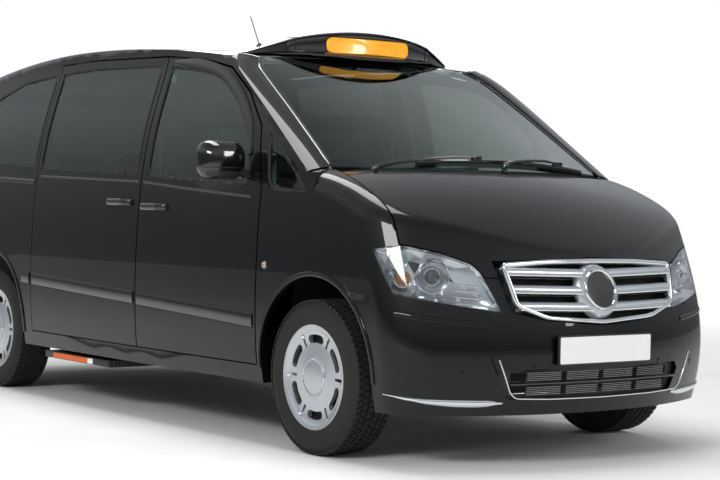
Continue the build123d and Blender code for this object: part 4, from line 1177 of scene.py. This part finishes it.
def seatSet(name, node, front, centreY, width, grooves, headrests):
    # a cushion and a back on a plinth and a foot, with a headrest on two posts for each place
    base = cushion(name + "Base", (0.455, width, 0.185), Matrix.Translation((front - 0.235, centreY, 0.700)),
                   "vehicle", 0.055, 0.016, grooves)
    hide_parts(node)
    cushion(name + "Back", (0.50, width, 0.120), leaning(front - 0.428, centreY, 0.985, 11), "vehicle", 0.050,
            0.014, grooves)
    for part, back, ahead, share, z1, z2, radius in (("Plinth", 0.43, 0.035, 0.47, 0.470, 0.612, 0.015),
                                                     ("Foot", 0.29, 0.06, 0.35, 0.377, 0.475, 0.008)):
        roundedBox(name + part, (front - back, centreY - width * share, z1),
                   (front - ahead, centreY + width * share, z2), radius, grainedPlastic, "vehicle")
    for number, y in enumerate(headrests):
        cushion(name + "Headrest" + str(number), (0.150, 0.25, 0.085), leaning(front - 0.462, y, 1.275, 9),
                "vehicle", 0.038, 0.010)
        for post in (-0.055, 0.055):
            tube(name + "Post" + str(number) + str(post),
                 [(front - 0.468, y + post, 1.175), (front - 0.480, y + post, 1.250)], 0.006, brightChrome,
                 "vehicle")


seatSet("driverSeat", "driver_seat", 0.830, -0.390, 0.520, ((1, -0.55), (1, 0.55), (0, 0.1)), (-0.390,))
seatSet("rearBench", "rear_bench", -1.060, 0.0, 1.180, ((1, -0.34), (1, 0.34), (0, 0.1)), (-0.39, 0.0, 0.39))
foldedTurn = Matrix.Rotation(math.radians(-92), 4, "Y")
railWay = [(0.038, 0.645, 0.800), (-0.035, 0.655, 0.815), (-0.050, 0.660, 0.90), (-0.050, 0.660, 1.16),
           (-0.035, 0.655, 1.245), (0.038, 0.645, 1.260)]
for label, side in sides.items():
    name = "foldingSeat" + label.capitalize()
    base = cushion(name + "Base", (0.400, 0.42, 0.085), Matrix.Translation((-0.172, side * 0.345, 0.752)),
                   "vehicle", 0.032, 0.010, ((0, 0.15),), 14)
    cushion(name + "Back", (0.500, 0.42, 0.055),
            Matrix.Translation((-0.006, side * 0.345, 1.078)) @ foldedTurn,
            "vehicle", 0.024, 0.006, ((0, -0.2),), 14)
    if side > 0:
        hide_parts("folding_seats")
    for y in (0.155, 0.535):
        tube(name + "Arm" + str(y), [(0.036, side * y, 0.735), (-0.05, side * y, 0.722),
                                     (-0.34, side * y, 0.722)],
             0.008, grainedPlastic, "vehicle")
    # grab rail beside the door
    tube("grabRail" + label.capitalize(), curveThrough([(x, side * y, z) for x, y, z in railWay]), 0.0145,
         yellowRail, "vehicle", 20)
print("seats made")


# Partition glass and dashboard

pane = {"halfWidth": 0.596, "low": 1.134, "high": 1.476, "margin": 0.002, "rear": 0.0465, "front": 0.0515}
w, low, high, margin = pane["halfWidth"], pane["low"], pane["high"], pane["margin"]
roundedBox("partitionGlass", (pane["rear"], -w - margin, low - margin),
           (pane["front"], w + margin, high + margin), 0.001, tintedGlass, "vehicle", 1)
frameWay = walk(rounded([(-w, low), (w, low), (w, high), (-w, high)], 0.03), 0.03, closed=True)
for part, face, outward in (("Rear", 0.0405, -1), ("Front", 0.0578, 1)):
    strip("partitionFrame" + part, [(Vector((face, y, z)), Vector((outward, 0, 0))) for y, z in frameWay],
          0.024, 0.004, sealRubber, "vehicle", closed=True)
# the hood over the instruments swells from its ends to a crowned middle
hoodFoot, hoodBase = 1.100, 1.095
hoodLevels = (1.104, 1.128, 1.143, 1.151, 1.155, 1.155, 1.151, 1.143, 1.132, 1.118, 1.104)
hood = [(1.000 + 0.011 * k, z) for k, z in enumerate(hoodLevels)]
rings = []
for k in range(25):
    y = -0.56 + 0.36 * k / 24
    rise = math.sin(math.pi * k / 24) ** 0.45
    rings.append([Vector((x, y, hoodFoot + (z - hoodFoot) * rise)) for x, z in hood]
                 + [Vector((x, y, hoodBase)) for x in (1.11, 1.0)])
sweepRing("instrumentHood", rings, grainedPlastic, "vehicle")
for y in (-0.66, -0.10, 0.10, 0.62):
    roundedBox("airVent" + str(y), (0.992, y - 0.055, 0.985), (1.003, y + 0.055, 1.055), 0.004, glossPlastic,
               "vehicle", 2)
    for k in range(4):
        z = 0.994 + 0.015 * k
        roundedBox("ventVane" + str(y) + str(k), (0.986, y - 0.047, z), (0.994, y + 0.047, z + 0.004), 0.001,
                   grainedPlastic, "vehicle", 1)
roundedBox("taxiMeter", (0.975, -0.075, 1.108), (1.055, 0.075, 1.162), 0.008, grainedPlastic, "vehicle")
roundedBox("meterFace", (0.9735, -0.064, 1.118), (0.9765, 0.064, 1.152), 0.001, smokedAcrylic, "vehicle", 1)
print("cabin finished")


# Rear: lamp bands, wiper, handle bar and window rubber

def rearStations(points, step=0.02, closed=False):
    return [hit for hit in (rearHit(y, z) for y, z in walk(points, step, closed)) if hit]


rearWindow = rounded([(-0.655, 1.225), (0.655, 1.225), (0.610, 1.680), (-0.610, 1.680)], 0.05)
strip("tailWindowRubber", smoothed(rearStations(rearWindow, 0.03, closed=True), 1), 0.018, 0.004, sealRubber,
      "tailgate", closed=True, sink=0.006)
strip("tailHandle", rearStations([(-0.30, 1.118), (0.30, 1.118)]), 0.042, 0.016, glossPlastic, "tailgate",
      taper=(0.6, 1, 1, 1, 0.6))
strip("rearBumperPad", rearStations([(-0.66, 0.455), (0.66, 0.455)]), 0.040, 0.006, grainedPlastic, "vehicle")
wiperWay = [(point + normal * 0.006, normal) for point, normal in rearStations([(0.0, 1.255), (0.48, 1.290)])]
strip("rearWiperBlade", wiperWay, 0.013, 0.012, glossPlastic, "tailgate", sink=0.004, taper=(0.6, 1, 1, 0.5))
point, normal = rearHit(0.0, 1.250)
lathe("rearWiperPivot", [(-0.004, 0.0), (0.026, 0.0), (0.024, 0.014), (0.014, 0.020), (-0.004, 0.022)], point,
      normal, glossPlastic, "tailgate", 32)
tailTree = treeOf(["tail_lamps"])


def tailPoint(y, z):
    # on the lamp, or level with its face where the lamp curves away
    hit = cast((-3.0, y, z), (1, 0, 0), tailTree)
    return hit[0] if hit else Vector((-2.36, y, z))


tailBands = (("Indicator", 1.090, 1.160, amberBulb), ("Reverse", 1.000, 1.065, plateWhite),
             ("Line1", 0.975, 0.982, sealRubber), ("Line2", 1.175, 1.182, sealRubber))
for label, side in sides.items():
    for part, z1, z2, material in tailBands:
        rings = []
        for k in range(13):
            z = z1 + (z2 - z1) * k / 12
            band = [tailPoint(side * (0.808 + 0.060 * m / 8), z) for m in range(9)]
            rings.append([point - Vector((0.0016, 0, 0)) for point in band]
                         + [point + Vector((0.0010, 0, 0)) for point in reversed(band)])
        sweepRing("tailBand" + part + label.capitalize(), rings, material, "vehicle")
print("rear finished")


# Studio: a pale sweep, soft boxes and a dark surround that keeps the black paint deep

def areaLight(name, place, target, size, power):
    data = bpy.data.lights.new(name, "AREA")
    data.shape = "RECTANGLE"
    data.size, data.size_y = size
    data.energy = power
    lamp = addObject(name, data)
    lamp.location = place
    lamp.rotation_euler = (Vector(target) - Vector(place)).to_track_quat("-Z", "Y").to_euler()
    return lamp


def mixShaders(tree, factor, first, second):
    mix = addNode(tree, "ShaderNodeMixShader")
    for socket, source in zip(mix.inputs, (factor, first, second)):
        tree.links.new(source, socket)
    return mix.outputs[0]


lights = [
    areaLight("keySoftbox", (5.0, -8.5, 5.2), (0.4, 0, 0.7), (4.5, 1.6), 420),
    areaLight("noseSoftbox", (9.5, 4.5, 4.0), (1.8, 0, 0.6), (1.4, 3.4), 190),
    areaLight("overheadTent", (-0.5, -0.5, 6.5), (-0.5, 0, 0), (6, 2.2), 330),
    areaLight("rearRim", (-7.0, 5.0, 4.5), (-0.5, 0, 1.0), (4, 3), 120),
]
floorMat, tree, shader = startMaterial("paleSeamlessFloor", "ECECEA", 0.85, {})
varyColour(tree, shader, grainBump(tree, shader, 400, 0.2, 0.05), "EAEAE8", "EFEFED")
# away from the car the paper burns out to white, for the camera alone
paperPlace = addNode(tree, "ShaderNodeNewGeometry")
paperReach = addNode(tree, "ShaderNodeVectorMath", {"operation": "LENGTH"},
                     {"Vector": paperPlace.outputs["Position"]})
paperFade = addNode(tree, "ShaderNodeMapRange", {"From Min": 3.4, "From Max": 8.5},
                    {"Value": paperReach.outputs["Value"]})
paperSeen = addNode(tree, "ShaderNodeLightPath")
paperMix = addNode(tree, "ShaderNodeMath", {"operation": "MULTIPLY"})
tree.links.new(paperFade.outputs[0], paperMix.inputs[0])
tree.links.new(paperSeen.outputs["Is Camera Ray"], paperMix.inputs[1])
paperWhite = addNode(tree, "ShaderNodeEmission", {"Color": (1, 1, 1, 1), "Strength": 1.0})
paperOut = [n for n in tree.nodes if n.type == "OUTPUT_MATERIAL"][0]
paperSurface = mixShaders(tree, paperMix.outputs[0], shader.outputs[0], paperWhite.outputs[0])
tree.links.new(paperSurface, paperOut.inputs["Surface"])
floorReach = 60
floorCorners = [(x * floorReach, y * floorReach, 0) for x, y in ((-1, -1), (1, -1), (1, 1), (-1, 1))]
floorMesh = meshFrom("studioFloor", floorCorners, [(0, 1, 2, 3)])
floorMesh.materials.append(floorMat)
studioFloor = addObject("studioFloor", floorMesh)

world = bpy.data.worlds.new("studioAir")
bpy.context.scene.world = world
world.use_nodes = True
worldTree = world.node_tree
worldTree.nodes.clear()
seen = addNode(worldTree, "ShaderNodeBackground", {"Color": (1, 1, 1, 1), "Strength": 1.0})
lit = addNode(worldTree, "ShaderNodeBackground", {"Color": hexToLinear("F2F5F8"), "Strength": 0.5})
mirrored = addNode(worldTree, "ShaderNodeBackground", {"Strength": 1.0})
airPlace = addNode(worldTree, "ShaderNodeTexCoord")
wayUp = addNode(worldTree, "ShaderNodeSeparateXYZ", None, {"Vector": airPlace.outputs["Generated"]})
bands = addNode(worldTree, "ShaderNodeValToRGB", None, {"Fac": wayUp.outputs["Z"]})
# the paint mirrors a dark horizon, a bright band and a dim top
low, high = bands.color_ramp.elements
low.position, low.color = 0.02, (0.16, 0.17, 0.18, 1)
high.position, high.color = 0.95, (0.25, 0.26, 0.28, 1)
bands.color_ramp.elements.new(0.42).color = (0.75, 0.78, 0.82, 1)
worldTree.links.new(bands.outputs[0], mirrored.inputs["Color"])
ray = addNode(worldTree, "ShaderNodeLightPath").outputs
glossMix = mixShaders(worldTree, ray["Is Glossy Ray"], lit.outputs[0], mirrored.outputs[0])
addNode(worldTree, "ShaderNodeOutputWorld", None, {
    "Surface": mixShaders(worldTree, ray["Is Camera Ray"], glossMix, seen.outputs[0])})

# Camera fitted to the photograph
cameraPlace = (7.915, -5.253, 1.087)
yaw, pitch, roll = math.radians(53.805), math.radians(1.184), math.radians(1.004)
ahead = Vector((-math.sin(yaw) * math.cos(pitch), math.cos(yaw) * math.cos(pitch), -math.sin(pitch)))
right = ahead.cross(Vector((0, 0, 1))).normalized()
upward = right.cross(ahead)
rightRolled = right * math.cos(roll) + upward * math.sin(roll)
upRolled = upward * math.cos(roll) - right * math.sin(roll)
cameraData = bpy.data.cameras.new("photoCamera")
cameraData.lens = 88.8
cameraData.sensor_width = 36
camera = addObject("photoCamera", cameraData)
turned = Matrix((rightRolled, upRolled, -ahead)).transposed().to_4x4()
camera.matrix_world = Matrix.Translation(cameraPlace) @ turned
bpy.context.scene.camera = camera
bpy.context.scene.view_settings.view_transform = "Standard"
print("studio set")
